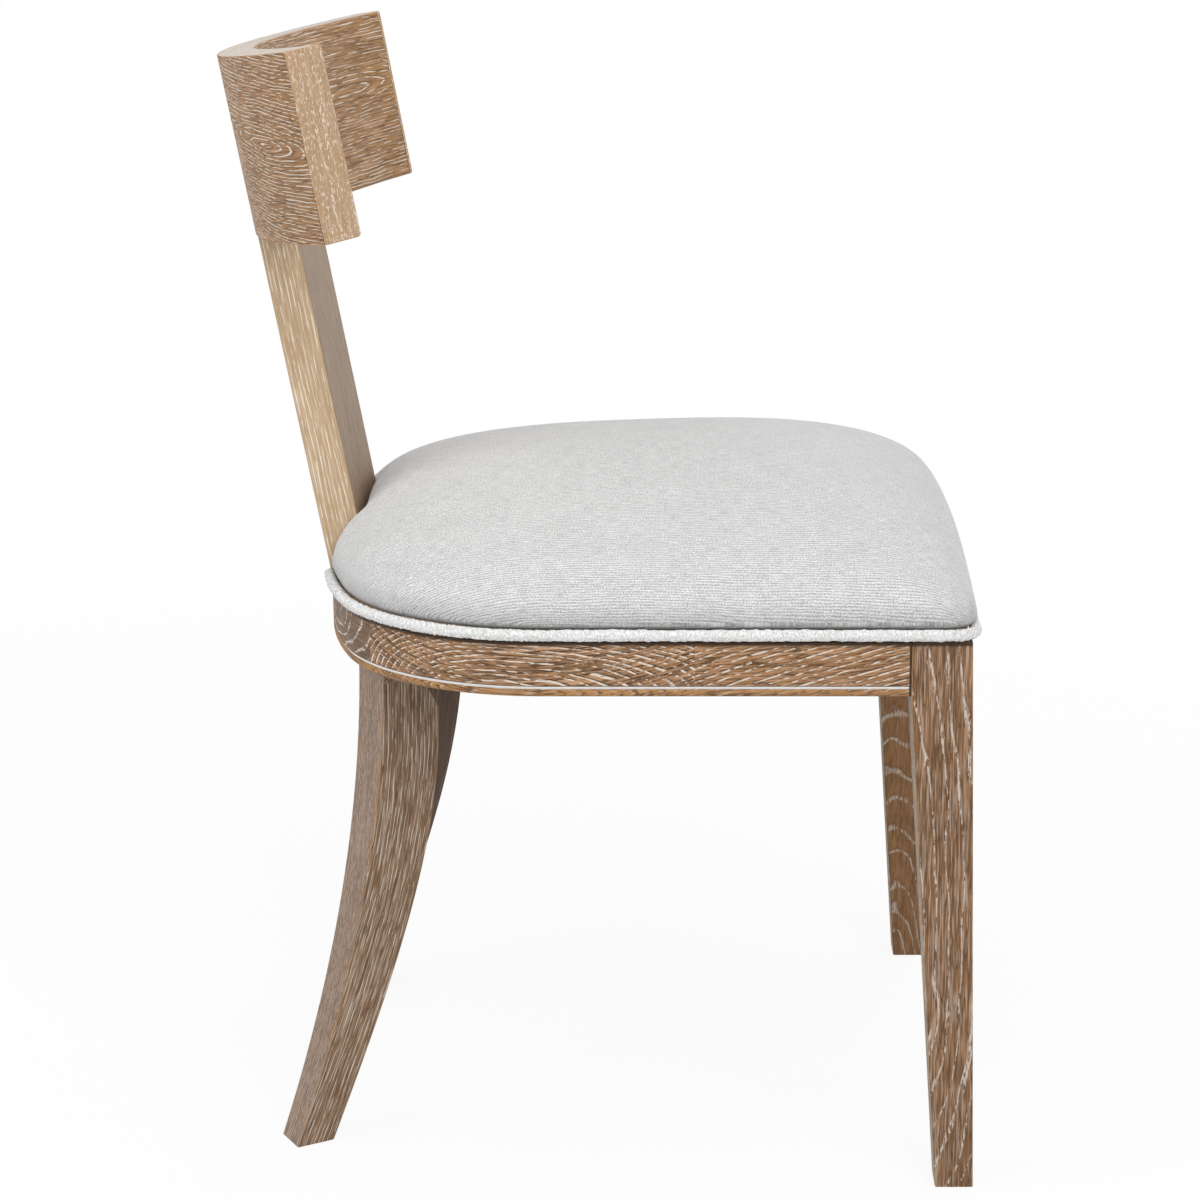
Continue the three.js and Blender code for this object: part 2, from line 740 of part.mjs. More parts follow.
// Centre the footprint over the origin
chair.updateMatrixWorld(true);
const bounds = new THREE.Box3().setFromObject(chair, true);
chair.position.y = -(bounds.min.y + bounds.max.y) / 2;

export default chair;
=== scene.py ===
"""A klismos dining chair in limed oak, with a crowned linen seat edged with piping.

Metres, +Z up. The chair faces -Y, and its right-hand side is at -X, towards the camera.
"""
import math
from types import SimpleNamespace

import bmesh
import bpy
import numpy as np
from mathutils import Matrix, Vector
from mathutils import noise as fuzz
from mathutils.bvhtree import BVHTree
from mathutils.interpolate import poly_3d_calc


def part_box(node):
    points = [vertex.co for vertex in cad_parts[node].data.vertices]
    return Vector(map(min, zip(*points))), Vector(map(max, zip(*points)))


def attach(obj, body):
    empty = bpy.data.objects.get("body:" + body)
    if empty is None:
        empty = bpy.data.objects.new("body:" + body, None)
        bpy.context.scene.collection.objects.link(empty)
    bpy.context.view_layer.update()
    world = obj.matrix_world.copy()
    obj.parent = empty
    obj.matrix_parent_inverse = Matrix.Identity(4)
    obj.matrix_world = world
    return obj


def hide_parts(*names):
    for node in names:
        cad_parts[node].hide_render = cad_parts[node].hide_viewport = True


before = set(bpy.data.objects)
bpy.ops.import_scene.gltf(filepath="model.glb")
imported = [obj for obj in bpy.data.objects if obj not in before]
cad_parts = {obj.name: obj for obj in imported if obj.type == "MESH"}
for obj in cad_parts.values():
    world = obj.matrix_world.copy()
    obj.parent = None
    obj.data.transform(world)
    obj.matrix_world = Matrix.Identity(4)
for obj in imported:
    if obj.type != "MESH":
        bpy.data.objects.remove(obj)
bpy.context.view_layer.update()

# Front legs
# Each leg is one oak post, square where the rails meet it and tapered to the
# foot on its two hidden faces. The arrises are eased and the foot is chamfered.
LEG_TOP = 0.0433
LEG_FOOT = 0.0283
LEG_LEAN = 0.0094
LEG_REVEAL = 0.0012
LEG_ARRIS = 0.0011
FOOT_CHAMFER = 0.0022
# The tops of the legs and rails are darkened in a band under the piping: painted shadow where the piping
# overhangs.
PIPING_SHADE_BAND = 0.0026
ARRIS_WEAR = 0.55
PAINTED_SHADE_DARKNESS = 0.9
SHARP_ANGLE = math.radians(25)
SIDES = {"right": -1, "left": 1}  # which way along X
FACING = 0.7
ROUNDING_STEPS = 4
rail_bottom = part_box("front_rail")[0].z
rail_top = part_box("front_rail")[1].z
front_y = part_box("front_rail")[0].y - LEG_REVEAL
half_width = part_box("front_leg_left")[1].x - LEG_REVEAL


def feed(made, inputs):
    """Link or set a shader node's inputs by name or number."""
    for name, value in inputs.items():
        if isinstance(value, bpy.types.NodeSocket):
            made.id_data.links.new(value, made.inputs[name])
        else:
            made.inputs[name].default_value = value


def node(near, kind, inputs=None, **settings):
    """Add a shader node beside another node or value, set its options and feed its inputs."""
    made = near.id_data.nodes.new(kind)
    for name, value in settings.items():
        setattr(made, name, value)
    feed(made, inputs or {})
    return made


def sums(operation, first, second=0.0, third=0.0):
    """A Math node's result."""
    return node(first, "ShaderNodeMath", {0: first, 1: second, 2: third}, operation=operation).outputs[0]


def times(first, second):
    return sums("MULTIPLY", first, second)


def plus(first, share, second):
    """A share of the first value added to the second."""
    return sums("MULTIPLY_ADD", first, share, second)


def vectors(operation, first, second):
    """A Vector Math node's vector result."""
    made = node(first, "ShaderNodeVectorMath", {0: first, 1: second}, operation=operation)
    return made.outputs["Vector"]


def length(vector):
    return node(vector, "ShaderNodeVectorMath", {0: vector}, operation="LENGTH").outputs["Value"]


def scaled(colour, share):
    """A colour made lighter or darker."""
    made = node(share, "ShaderNodeVectorMath", {0: colour, "Scale": share}, operation="SCALE")
    return made.outputs["Vector"]


def joined(x, y, z):
    return node(x, "ShaderNodeCombineXYZ", {"X": x, "Y": y, "Z": z}).outputs[0]


def split(vector):
    return node(vector, "ShaderNodeSeparateXYZ", {0: vector}).outputs


def attribute(near, name):
    """A vector that the mesh carries at each of its points."""
    return node(near, "ShaderNodeAttribute", attribute_name=name).outputs["Vector"]


def own_place(near):
    """The place in the piece's own coordinates."""
    return node(near, "ShaderNodeTexCoord").outputs["Object"]


def add_relief(shader, height, depth, strength):
    """Let a height show as fine relief in the surface."""
    bump = node(height, "ShaderNodeBump", {"Height": height, "Strength": strength, "Distance": depth})
    feed(shader, {"Normal": bump.outputs[0]})


def noise(place, scale, shift=(0.0, 0.0, 0.0), detail=2.0, output="Fac"):
    """Noise with its own scale and shift along each direction of a place."""
    moved = vectors("ADD", vectors("MULTIPLY", place, scale), shift)
    made = node(moved, "ShaderNodeTexNoise", {"Vector": moved, "Scale": 1.0, "Detail": detail})
    return made.outputs[output]


def ramp(value, low, high, bottom=0.0, top=1.0):
    """A smooth step from bottom to top as a value goes from low to high."""
    inputs = {"Value": value, "From Min": low, "From Max": high, "To Min": bottom, "To Max": top}
    return node(value, "ShaderNodeMapRange", inputs, interpolation_type="SMOOTHSTEP").outputs["Result"]


def mix(share, first, second):
    """Two colours mixed by a share."""
    inputs = {"Factor": share, 6: first, 7: second}
    return node(share, "ShaderNodeMix", inputs, data_type="RGBA").outputs[2]


def new_material(name):
    """A new material and its shader."""
    material = bpy.data.materials.new(name)
    material.use_nodes = True
    tree = material.node_tree
    tree.nodes.clear()
    shader = node(tree, "ShaderNodeBsdfPrincipled")
    node(tree, "ShaderNodeOutputMaterial", {"Surface": shader.outputs[0]})
    return material, shader


OAK_BROWN = (0.235, 0.128, 0.058, 1)
OAK_DARK = (0.085, 0.042, 0.018, 1)
OAK_RUBBED = (0.40, 0.205, 0.075, 1)
# The dark colour for real stains at the joints and for painted shade under the piping and in the groove.
OAK_STAIN_AND_SHADE = (0.035, 0.018, 0.009, 1)
LIME_WHITE = (0.66, 0.58, 0.49, 1)
FILLER_WHITE = (0.80, 0.79, 0.78, 1)
MID_GREY = (0.5, 0.5, 0.5)
# Marks in a metre along, across and down through the board
WANDER_SCALE = (8.0, 42.0, 42.0)
PATCH_SCALE = (14.0, 90.0, 90.0)
FIBRE_SCALE = (24.0, 360.0, 360.0)
STREAK_SCALE = (42.0, 950.0, 950.0)
RING_DRIFT = 130.0
# Where each effect starts and ends in the noise or wave that makes it
LINE_FADE = (-0.25, 0.12)
SHADOW_LINE_TURN = 1.1
LEAST_KEPT = 0.555
LEAST_PER_GAP = 0.24
KEPT_FADE = 0.035
PATCH_IN_PORES = 0.35
FLECK_FADE = (0.70, 0.77)
FLECK_REACH = 0.12
FILM_FADE = (0.48, 0.68)
RIDGE_FADE = (0.045, 0.015)
PATCH_FADE = (0.3, 0.7)
PATCH_TINT = (-0.18, 0.22)
STREAK_FADE = (0.34, 0.6)
STREAK_TINT = (-0.36, 0.16)
WORN_FADE = (0.1, 0.9)
WORN_PATCH_FADE = (0.3, 0.6)
WORN_LIME_FADE = (0.1, 0.8)
WORN_LIME = 0.2
WORN_DARK = 0.8
FILLED_FADE = (0.2, 0.6)
STAIN_AND_SHADE_STRENGTH = 0.95
PORE_RELIEF = 0.0003
OAK_ROUGHNESS = (0.55, 0.8)
SEED_SHARES = (1.0, 0.37, 0.71)
# How a limed board looks, where its own line doesn't say otherwise
BOARD = {
    "slope": 0.0,  # how the rings climb along the board
    "wander": 0.004,  # how far the rings stray
    "rings": 0.0034,  # from one ring to the next
    "lime": 0.22,  # the share of a ring that its pale line takes
    "gaps": 0.5,  # how broken the lines are
    "run": 26.0,  # how often the rings' spacing changes in a metre
    "waves": 9.0,  # how much it changes
    "dash": (120.0, 800.0),  # pores in a metre, along and across
    "dark": 0.5,  # strength of the dark lines and of the tint
    "fleck": 0.3,  # how many loose pores show
    "film": 0.3,  # thin lime over the fibres
    "fibres": (0.0, 0.0),  # where the fibres bow, and how much
    "brown": OAK_BROWN,
    "white": LIME_WHITE,
    "seed": 0.0,
}


def ring_distance(grain, look):
    """How far a place is from the heart of the growth rings. They are wandering ovals, stretched
    along the board by one amount before the heart and by another past it."""
    before, past = look.stretch
    cloud = noise(grain, WANDER_SCALE, look.shift, 3.0, "Color")
    wobble = vectors("SUBTRACT", cloud, MID_GREY)
    wobble = vectors("MULTIPLY", wobble, (0.0, look.wander, look.wander))
    swayed = vectors("ADD", grain, wobble)
    reach = split(vectors("SUBTRACT", swayed, look.heart))
    early = times(sums("MINIMUM", reach["X"]), 1 / before)
    late = times(sums("MAXIMUM", reach["X"]), 1 / past)
    rise = plus(reach["X"], look.slope, reach["Y"])
    return length(joined(sums("ADD", early, late), rise, reach["Z"]))


def ring_lines(parts, ring, look):
    """One line along each growth ring, and a second one close beside it for a painted shadow."""
    place = joined(parts["X"], ring, parts["Y"])
    drift = noise(place, (look.run, RING_DRIFT, look.run), look.shift)
    phase = plus(ring, math.tau / look.rings, times(drift, look.waves))
    beside = sums("SUBTRACT", phase, math.tau * look.lime * SHADOW_LINE_TURN)
    edge = math.cos(math.pi * look.lime)
    return [ramp(sums("SINE", turn), edge + LINE_FADE[0], edge + LINE_FADE[1])
            for turn in (phase, beside)]


def along_fibres(parts, fibres):
    """A place in the board with the fibres laid straight. They bow up or down from a middle place."""
    middle, bow = fibres
    off = sums("SUBTRACT", parts["X"], middle)
    across = plus(times(off, off), -bow, parts["Y"])
    return joined(parts["X"], across, parts["Z"])


def lime_in_pores(dashes, streaks, lined, look):
    """How much lime shows: in the rings' lines, in loose flecks and as a thin film."""
    low, high = (edge - FLECK_REACH * look.fleck for edge in FLECK_FADE)
    flecked = ramp(dashes, low, high, 0.0, look.fleck)
    filmed = ramp(streaks, *FILM_FADE, 0.0, look.film)
    return sums("MAXIMUM", sums("MAXIMUM", lined, flecked), filmed)


def tinted_wood(patch, streaks, look):
    """The board's brown, lighter and darker in patches and along the fibres."""
    patchy = ramp(patch, *PATCH_FADE, *(1 + tint * look.dark for tint in PATCH_TINT))
    streaky = ramp(streaks, *STREAK_FADE, *(1 + tint * look.dark for tint in STREAK_TINT))
    return scaled(look.brown[:3], times(patchy, streaky))


def finished_colour(toned, patch, pale, shade, look):
    """The tinted wood with its dark lines and lime, then rubbed, filled, and stained or darkened by
    painted shade where marked.
    """
    finish = split(attribute(toned, "finish"))
    patchy = ramp(patch, *WORN_PATCH_FADE, 0.5, 1.0)
    worn = times(ramp(finish["X"], *WORN_FADE), patchy)
    rubbed = mix(worn, toned, OAK_RUBBED)
    darkness = ramp(worn, 0.0, 1.0, look.dark, look.dark * WORN_DARK)
    wood = mix(times(shade, darkness), rubbed, OAK_DARK)
    left = ramp(worn, *WORN_LIME_FADE, 1.0, WORN_LIME)
    limed = mix(times(pale, left), wood, look.white)
    filled = mix(ramp(finish["Y"], *FILLED_FADE), limed, FILLER_WHITE)
    # The third mark is real staining at the joints, and painted shade under the piping and along the
    # groove.
    return mix(ramp(finish["Z"], *WORN_FADE, 0.0, STAIN_AND_SHADE_STRENGTH), filled, OAK_STAIN_AND_SHADE)


def limed_oak(name, heart, stretch, **own):
    """Limed oak. Pale filler lies in the pores, dashes along the fibres that crowd into a line on
    each growth ring, with a painted shadow line beside it. A film of filler streaks the rest."""
    look = SimpleNamespace(heart=heart, stretch=stretch, **{**BOARD, **own})
    look.shift = tuple(look.seed * share for share in SEED_SHARES)
    material, shader = new_material(name)
    grain = attribute(shader, "grain")
    parts = split(grain)
    fibre = along_fibres(parts, look.fibres)
    patch = noise(grain, PATCH_SCALE, look.shift)
    dashes = noise(fibre, (look.dash[0], look.dash[1], look.dash[1]), look.shift)
    strands = noise(fibre, FIBRE_SCALE, look.shift)
    streaks = noise(fibre, STREAK_SCALE, look.shift)
    line, beside = ring_lines(parts, ring_distance(grain, look), look)
    least = LEAST_KEPT + LEAST_PER_GAP * look.gaps
    crowd = plus(patch, PATCH_IN_PORES, dashes)
    kept = ramp(crowd, least - KEPT_FADE, least + KEPT_FADE)
    pale = lime_in_pores(dashes, streaks, times(line, kept), look)
    ridges = ramp(sums("ABSOLUTE", sums("SUBTRACT", strands, 0.5)), *RIDGE_FADE)
    # Painted shade: a dark line beside each pale line, as the shadow of its pores, together with the dark
    # fibre ridges.
    shade = sums("MAXIMUM", times(beside, kept), ridges)
    toned = tinted_wood(patch, streaks, look)
    feed(shader, {
        "Base Color": finished_colour(toned, patch, pale, shade, look),
        "Roughness": ramp(pale, 0.0, 1.0, *OAK_ROUGHNESS),
        "Specular IOR Level": 0.22,
    })
    height = sums("SUBTRACT", times(streaks, 0.5), shade)
    add_relief(shader, height, PORE_RELIEF, 0.3)
    return material


def new_mesh():
    """An empty mesh that can hold the grain's place, and how rubbed, filled, and stained or darkened by
    painted shade it is.
    """
    bm = bmesh.new()
    bm.verts.layers.float_vector.new("grain")
    bm.verts.layers.float_vector.new("finish")
    return bm


def add_object(name, bm):
    """Make a mesh into an object in the scene."""
    mesh = bpy.data.meshes.new(name)
    bm.to_mesh(mesh)
    bm.free()
    made = bpy.data.objects.new(name, mesh)
    bpy.context.scene.collection.objects.link(made)
    return made


def worked_out(piece):
    """A piece's mesh with its modifiers worked out."""
    return bpy.data.meshes.new_from_object(piece.evaluated_get(bpy.context.evaluated_depsgraph_get()))


def add_cube(bm, low, high):
    """Add a box from its lowest corner to its highest and return its points."""
    verts = bmesh.ops.create_cube(bm, size=1.0)["verts"]
    bmesh.ops.scale(bm, vec=Vector(high) - Vector(low), verts=verts)
    bmesh.ops.translate(bm, vec=(Vector(high) + Vector(low)) / 2, verts=verts)
    return verts


def slice_across(bm, places, direction):
    """Cut right through a mesh at each place, square to a direction."""
    for place in places:
        parts = bm.verts[:] + bm.edges[:] + bm.faces[:]
        bmesh.ops.bisect_plane(bm, geom=parts, plane_co=place, plane_no=direction)


def sharp_edges(bm):
    """The edges that stand sharp between two faces."""
    shared = (edge for edge in bm.edges if len(edge.link_faces) == 2)
    return [edge for edge in shared if edge.calc_face_angle() > SHARP_ANGLE]


def ease(bm, edges, width):
    """Round edges over, and mark the middle of each rounding as rubbed."""
    made = bmesh.ops.bevel(bm, geom=edges, offset=width, offset_type="OFFSET", affect="EDGES",
                           segments=ROUNDING_STEPS, profile=0.5, material=-1, clamp_overlap=True)
    rounded = set(made["faces"])
    mark(bm, lambda vert: all(face in rounded for face in vert.link_faces), rubbed=ARRIS_WEAR)


def mark(bm, test, rubbed=None, stain_and_shade=None):
    """Set how rubbed, or how stained or darkened by painted shade, the vertices are that pass a test."""
    layer = bm.verts.layers.float_vector["finish"]
    for vert in bm.verts:
        if test(vert):
            given = zip((rubbed, None, stain_and_shade), vert[layer])
            vert[layer] = Vector([old if new is None else new for new, old in given])


def lay_grain(bm, place_of):
    """Give each point its place in the board: along, across and deep."""
    layer = bm.verts.layers.float_vector["grain"]
    for vert in bm.verts:
        vert[layer] = place_of(vert.co)


def turn_outward(bm):
    """Turn all faces to point outward."""
    bm.normal_update()
    bmesh.ops.recalc_face_normals(bm, faces=bm.faces)
    bm.normal_update()


def paint(bm, number, test):
    """Give a material, by its number, to the faces whose direction passes a test."""
    turn_outward(bm)
    for face in bm.faces:
        if test(face.normal):
            face.material_index = number


def finished_piece(name, bm, materials):
    """Make a mesh a finished piece that stands for its CAD node."""
    turn_outward(bm)
    for face in bm.faces:
        face.smooth = True
    piece = add_object(name + "_finished", bm)
    piece.data.set_sharp_from_angle(angle=SHARP_ANGLE)
    piece.modifiers.new("even shading", "WEIGHTED_NORMAL").keep_sharp = True
    for material in materials:
        piece.data.materials.append(material)
    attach(piece, "root")
    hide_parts(name)
    return piece


def ease_leg(bm, arris, chamfer):
    """Round a leg's upright and top edges over, and chamfer the rim of its foot."""
    def top_of(edge):
        return max(vert.co.z for vert in edge.verts)

    ease(bm, [edge for edge in sharp_edges(bm) if top_of(edge) > FOOT_CHAMFER], arris)
    ease(bm, [edge for edge in sharp_edges(bm) if top_of(edge) < FOOT_CHAMFER / 2], chamfer)


def shape_front_leg(side):
    bm = new_mesh()
    add_cube(bm, (0, 0, 0), (1, 1, rail_top))
    cuts = (rail_bottom, rail_top - PIPING_SHADE_BAND * 2, rail_top - PIPING_SHADE_BAND)
    slice_across(bm, [(0, 0, z) for z in cuts], (0, 0, 1))
    outer = half_width + LEG_REVEAL
    for vert in bm.verts:
        in_share, back_share, z = vert.co
        size = LEG_FOOT + (LEG_TOP - LEG_FOOT) * min(z / rail_bottom, 1)
        y = front_y - LEG_LEAN * (1 - z / rail_top)
        rear = y + size if z < rail_bottom / 2 else front_y + LEG_TOP
        vert.co = (side * (outer - size * in_share), y + (rear - y) * back_share, z)
    paint(bm, 1, lambda normal: abs(normal.x) < FACING)
    paint(bm, 2, lambda normal: side * normal.x < -FACING)
    ease_leg(bm, LEG_ARRIS, FOOT_CHAMFER)
    # Painted shadow: the top of the leg is darkened under the piping.
    mark(bm, lambda vert: vert.co.z > rail_top - PIPING_SHADE_BAND - LEG_ARRIS / 2, stain_and_shade=PAINTED_SHADE_DARKNESS)
    lay_grain(bm, lambda co: (co.z, co.y - front_y, outer - side * co.x))
    return bm


front_leg_oaks = [
    limed_oak("front leg outer oak", (0.165, 0.064, 0.0), (2.6, 6.0), seed=2.0, wander=0.005,
              rings=0.0095, lime=0.08, gaps=0.5, run=16.0, dash=(190.0, 1000.0), dark=0.8, fleck=0.15,
              film=0.32, brown=(0.215, 0.112, 0.053, 1), white=(0.58, 0.51, 0.44, 1)),
    limed_oak("front leg edge oak", (0.2, 0.0, -0.08), (16.0, 16.0), seed=4.0, lime=0.24,
              brown=(0.27, 0.185, 0.115, 1)),
    limed_oak("front leg inner oak", (-0.05, 0.018, 0.030), (1.0, 4.5), seed=7.0, rings=0.0060, lime=0.10,
              gaps=0.38, fleck=0.0, film=0.12, brown=(0.225, 0.113, 0.046, 1),
              white=(0.42, 0.36, 0.30, 1)),
]
for name, side in SIDES.items():
    finished_piece(f"front_leg_{name}", shape_front_leg(side), front_leg_oaks)

# Front and side rails
# Straight oak rails with a bead and a fine groove run along the lower edge.
# They are tenoned into the front legs and glued.
RAIL_THICKNESS = 0.026
BEAD_RADIUS = 0.0034
GROOVE_WIDTH = 0.0018
GROOVE_DEPTH = 0.0008
GLUE_LINE = 0.0003
BEAD_TOP_TURN = math.radians(60)
BEAD_STEPS = 8
RAIL_ARRIS = 0.0014
JOINT_LINE = 0.0009
PLAIN = (0.0, 0.0, 0.0)
RUBBED = (0.9, 0.0, 0.0)
FILLED = (0.0, 1.0, 0.0)
# Painted shade, for the rails' top edge under the piping and the upper edge of the groove.
PAINTED_SHADE = (0.0, 0.0, PAINTED_SHADE_DARKNESS)
FRONT_RAIL_STEPS = 12
SIDE_RAIL_STEPS = 8
TENON_LENGTH = 0.020
TENON_THICKNESS = 0.010
TENON_SHOULDER = 0.006
rear_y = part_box("rear_rail")[1].y
side_joint_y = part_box("side_rail_left")[1].y


def rail_profile(bm, place):
    """The rail's outline as a loop of edges, placed by inset and height. The bead is rubbed and the
    groove is filled with lime. Painted shade darkens the groove's upper edge, and painted shadow
    darkens the top edge under the piping."""
    bead = []
    for i in range(BEAD_STEPS + 1):
        turn = BEAD_TOP_TURN - (BEAD_TOP_TURN + math.pi / 2) * i / BEAD_STEPS
        bead.append((BEAD_RADIUS * (1 - math.cos(turn)), rail_bottom + BEAD_RADIUS * (1 + math.sin(turn))))
    groove_bottom = bead[0][1]
    groove_top = groove_bottom + GROOVE_WIDTH
    shoulder = GROOVE_WIDTH / 4
    points = [
        (RAIL_THICKNESS, rail_bottom, PLAIN),
        (RAIL_THICKNESS, rail_top, PLAIN),
        # Painted shadow under the piping.
        (RAIL_ARRIS, rail_top, PAINTED_SHADE),
        (0, rail_top - RAIL_ARRIS, PAINTED_SHADE),
        (0, rail_top - PIPING_SHADE_BAND, PAINTED_SHADE),
        (0, rail_top - PIPING_SHADE_BAND * 2, PLAIN),
        (0, groove_top + JOINT_LINE, PLAIN),
        # Painted shade along the groove's upper edge.
        (0, groove_top, PAINTED_SHADE),
        (GROOVE_DEPTH, groove_top - shoulder, FILLED),
        (GROOVE_DEPTH, groove_bottom + shoulder, FILLED),
        (*bead[0], FILLED),
        *[(*point, RUBBED) for point in bead[1:]],
    ]
    finish = bm.verts.layers.float_vector["finish"]
    verts = []
    for inset, z, look in points:
        verts.append(bm.verts.new(place(inset, z)))
        verts[-1][finish] = look
    return closed_loop(bm, verts)


def closed_loop(bm, verts):
    return [bm.edges.new((verts[i - 1], verts[i])) for i in range(len(verts))]


def extrude(bm, edges):
    """Extrude a loop of edges in place, and return the new points and edges."""
    made = bmesh.ops.extrude_edge_only(bm, edges=edges)["geom"]
    verts = [part for part in made if isinstance(part, bmesh.types.BMVert)]
    edges = [part for part in made if isinstance(part, bmesh.types.BMEdge)]
    return verts, [edge for edge in edges if len(edge.link_faces) <= 1]


def run_straight(bm, edges, travel, steps):
    """Extrude a loop of edges along a straight run and return the last one. The steps at the ends
    are short, so that the joints' dark lines stay narrow."""
    short = travel.normalized() * JOINT_LINE
    for step in [short, short, *[(travel - short * 4) / steps] * steps, short, short]:
        verts, edges = extrude(bm, edges)
        bmesh.ops.translate(bm, vec=step, verts=verts)
    return edges


def cap_ends(bm):
    """Close both open ends with flat faces."""
    bmesh.ops.holes_fill(bm, edges=[edge for edge in bm.edges if edge.is_boundary], sides=0)


def add_tenon(bm, shoulder, direction):
    """A straight tenon out of a rail's end."""
    along = Vector(direction)
    across = Vector((abs(along.y), abs(along.x), 0)) * TENON_THICKNESS / 2
    tip = Vector(shoulder) + along * TENON_LENGTH
    root = Vector(shoulder) - along * TENON_THICKNESS
    low = Vector(map(min, root - across, tip - across))
    high = Vector(map(max, root + across, tip + across))
    low.z = rail_bottom + TENON_SHOULDER
    high.z = rail_top - TENON_SHOULDER
    add_cube(bm, low, high)


def shape_front_rail():
    low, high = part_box("front_rail")
    end = high.x - TENON_LENGTH
    bm = new_mesh()
    loop = rail_profile(bm, lambda inset, z: (-end, low.y + inset, z))
    run_straight(bm, loop, Vector((2 * end, 0, 0)), FRONT_RAIL_STEPS)
    cap_ends(bm)
    mark(bm, lambda vert: abs(vert.co.x) > end - JOINT_LINE - GLUE_LINE, stain_and_shade=1.0)
    for side in SIDES.values():
        add_tenon(bm, (side * end, low.y + RAIL_THICKNESS / 2, 0), (side, 0, 0))
    lay_grain(bm, lambda co: (co.x, co.z, co.y - front_y))
    return bm


def shape_side_rail(side):
    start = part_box("side_rail_left")[0].y + TENON_LENGTH
    bm = new_mesh()
    loop = rail_profile(bm, lambda inset, z: (side * (half_width - inset), start, z))
    run_straight(bm, loop, Vector((0, side_joint_y - start, 0)), SIDE_RAIL_STEPS)
    cap_ends(bm)
    mark(bm, lambda vert: vert.co.y < start + JOINT_LINE + GLUE_LINE, stain_and_shade=1.0)
    add_tenon(bm, (side * (half_width - RAIL_THICKNESS / 2), start, 0), (0, -1, 0))
    lay_grain(bm, lambda co: (co.y, co.z, half_width - side * co.x))
    return bm


side_rail_oak = limed_oak("side rail oak", (-0.61, 0.20, 0.0), (2.6, 2.6), seed=13.0, wander=0.002,
                          rings=0.0037, lime=0.19, gaps=0.48, run=16.0, waves=5.0, dash=(170.0, 900.0),
                          dark=0.9, fleck=0.2, film=0.15, fibres=(0.02, 0.3),
                          brown=(0.32, 0.168, 0.076, 1))
front_rail_oak = limed_oak("front rail oak", (0.05, 0.397, 0.015), (9.0, 9.0), seed=11.0, lime=0.24,
                           dark=0.8, brown=(0.29, 0.155, 0.070, 1))
finished_piece("front_rail", shape_front_rail(), [front_rail_oak])
for name, side in SIDES.items():
    finished_piece(f"side_rail_{name}", shape_side_rail(side), [side_rail_oak])

# Corner and rear rails
# Three pieces sawn to the curve carry the bead round the back. They are butt
# jointed over loose tongues, so the seams show only as hairlines.
REAR_RADIUS = 0.457
CORNER_RADIUS = 0.159
REAR_JOINT_TURN = math.radians(36)
TIGHT_JOINT = 0.00004
CURVE_STEP = math.radians(2.0)
CORNER_RAIL_STEPS = 6
rear_centre = Vector((0, rear_y - REAR_RADIUS, 0))
corner_offset = half_width - CORNER_RADIUS
blend_turn = math.asin(corner_offset / (REAR_RADIUS - CORNER_RADIUS))
corner_y = rear_centre.y + (REAR_RADIUS - CORNER_RADIUS) * math.cos(blend_turn)


def run_round(bm, edges, centre, turn):
    """Spin a loop of edges about an upright axis and return the last loop."""
    steps = max(2, round(abs(turn) / CURVE_STEP))
    spun = bmesh.ops.spin(bm, geom=edges + list({v for e in edges for v in e.verts}), cent=centre,
                          axis=(0, 0, 1), dvec=(0, 0, 0), angle=turn, steps=steps, use_duplicate=False)
    return [g for g in spun["geom_last"] if isinstance(g, bmesh.types.BMEdge)]


def rail_place(co):
    """A point's distance round the frame from the middle of the back, its height and its inset."""
    side = -1 if co.x < 0 else 1
    turn = math.atan2(side * co.x, co.y - rear_centre.y)
    if turn <= blend_turn:
        inset = REAR_RADIUS - math.hypot(co.x, co.y - rear_centre.y)
        return side * REAR_RADIUS * turn, co.z, inset
    if co.y < corner_y:
        run = REAR_RADIUS * blend_turn + CORNER_RADIUS * (math.pi / 2 - blend_turn) + corner_y - co.y
        return side * run, co.z, half_width - side * co.x
    x = side * co.x - corner_offset
    turn = math.atan2(x, co.y - corner_y)
    inset = CORNER_RADIUS - math.hypot(x, co.y - corner_y)
    return side * (REAR_RADIUS * blend_turn + CORNER_RADIUS * (turn - blend_turn)), co.z, inset


def corner_place(side, turn):
    """A function that places the rail's outline on a corner's arc."""
    def place(inset, z):
        reach = CORNER_RADIUS - inset
        return side * (corner_offset + reach * math.sin(turn)), corner_y + reach * math.cos(turn), z
    return place


def stain_joint(bm, turn):
    """Darken the thin line where a corner rail meets the rear rail."""
    def at_joint(vert):
        seen = math.atan2(abs(vert.co.x) - corner_offset, vert.co.y - corner_y)
        return abs(seen - turn) * CORNER_RADIUS < GLUE_LINE
    mark(bm, at_joint, stain_and_shade=0.5)


def shape_rear_rail():
    bm = new_mesh()
    line = JOINT_LINE / CORNER_RADIUS
    right, left = (-corner_offset, corner_y, 0), (corner_offset, corner_y, 0)
    corner_turn = REAR_JOINT_TURN - blend_turn
    loop = rail_profile(bm, corner_place(-1, REAR_JOINT_TURN))
    loop = run_round(bm, loop, right, -line)
    loop = run_round(bm, loop, right, line - corner_turn)
    loop = run_round(bm, loop, rear_centre, -2 * blend_turn)
    loop = run_round(bm, loop, left, line - corner_turn)
    run_round(bm, loop, left, -line)
    cap_ends(bm)
    stain_joint(bm, REAR_JOINT_TURN)
    lay_grain(bm, rail_place)
    return bm


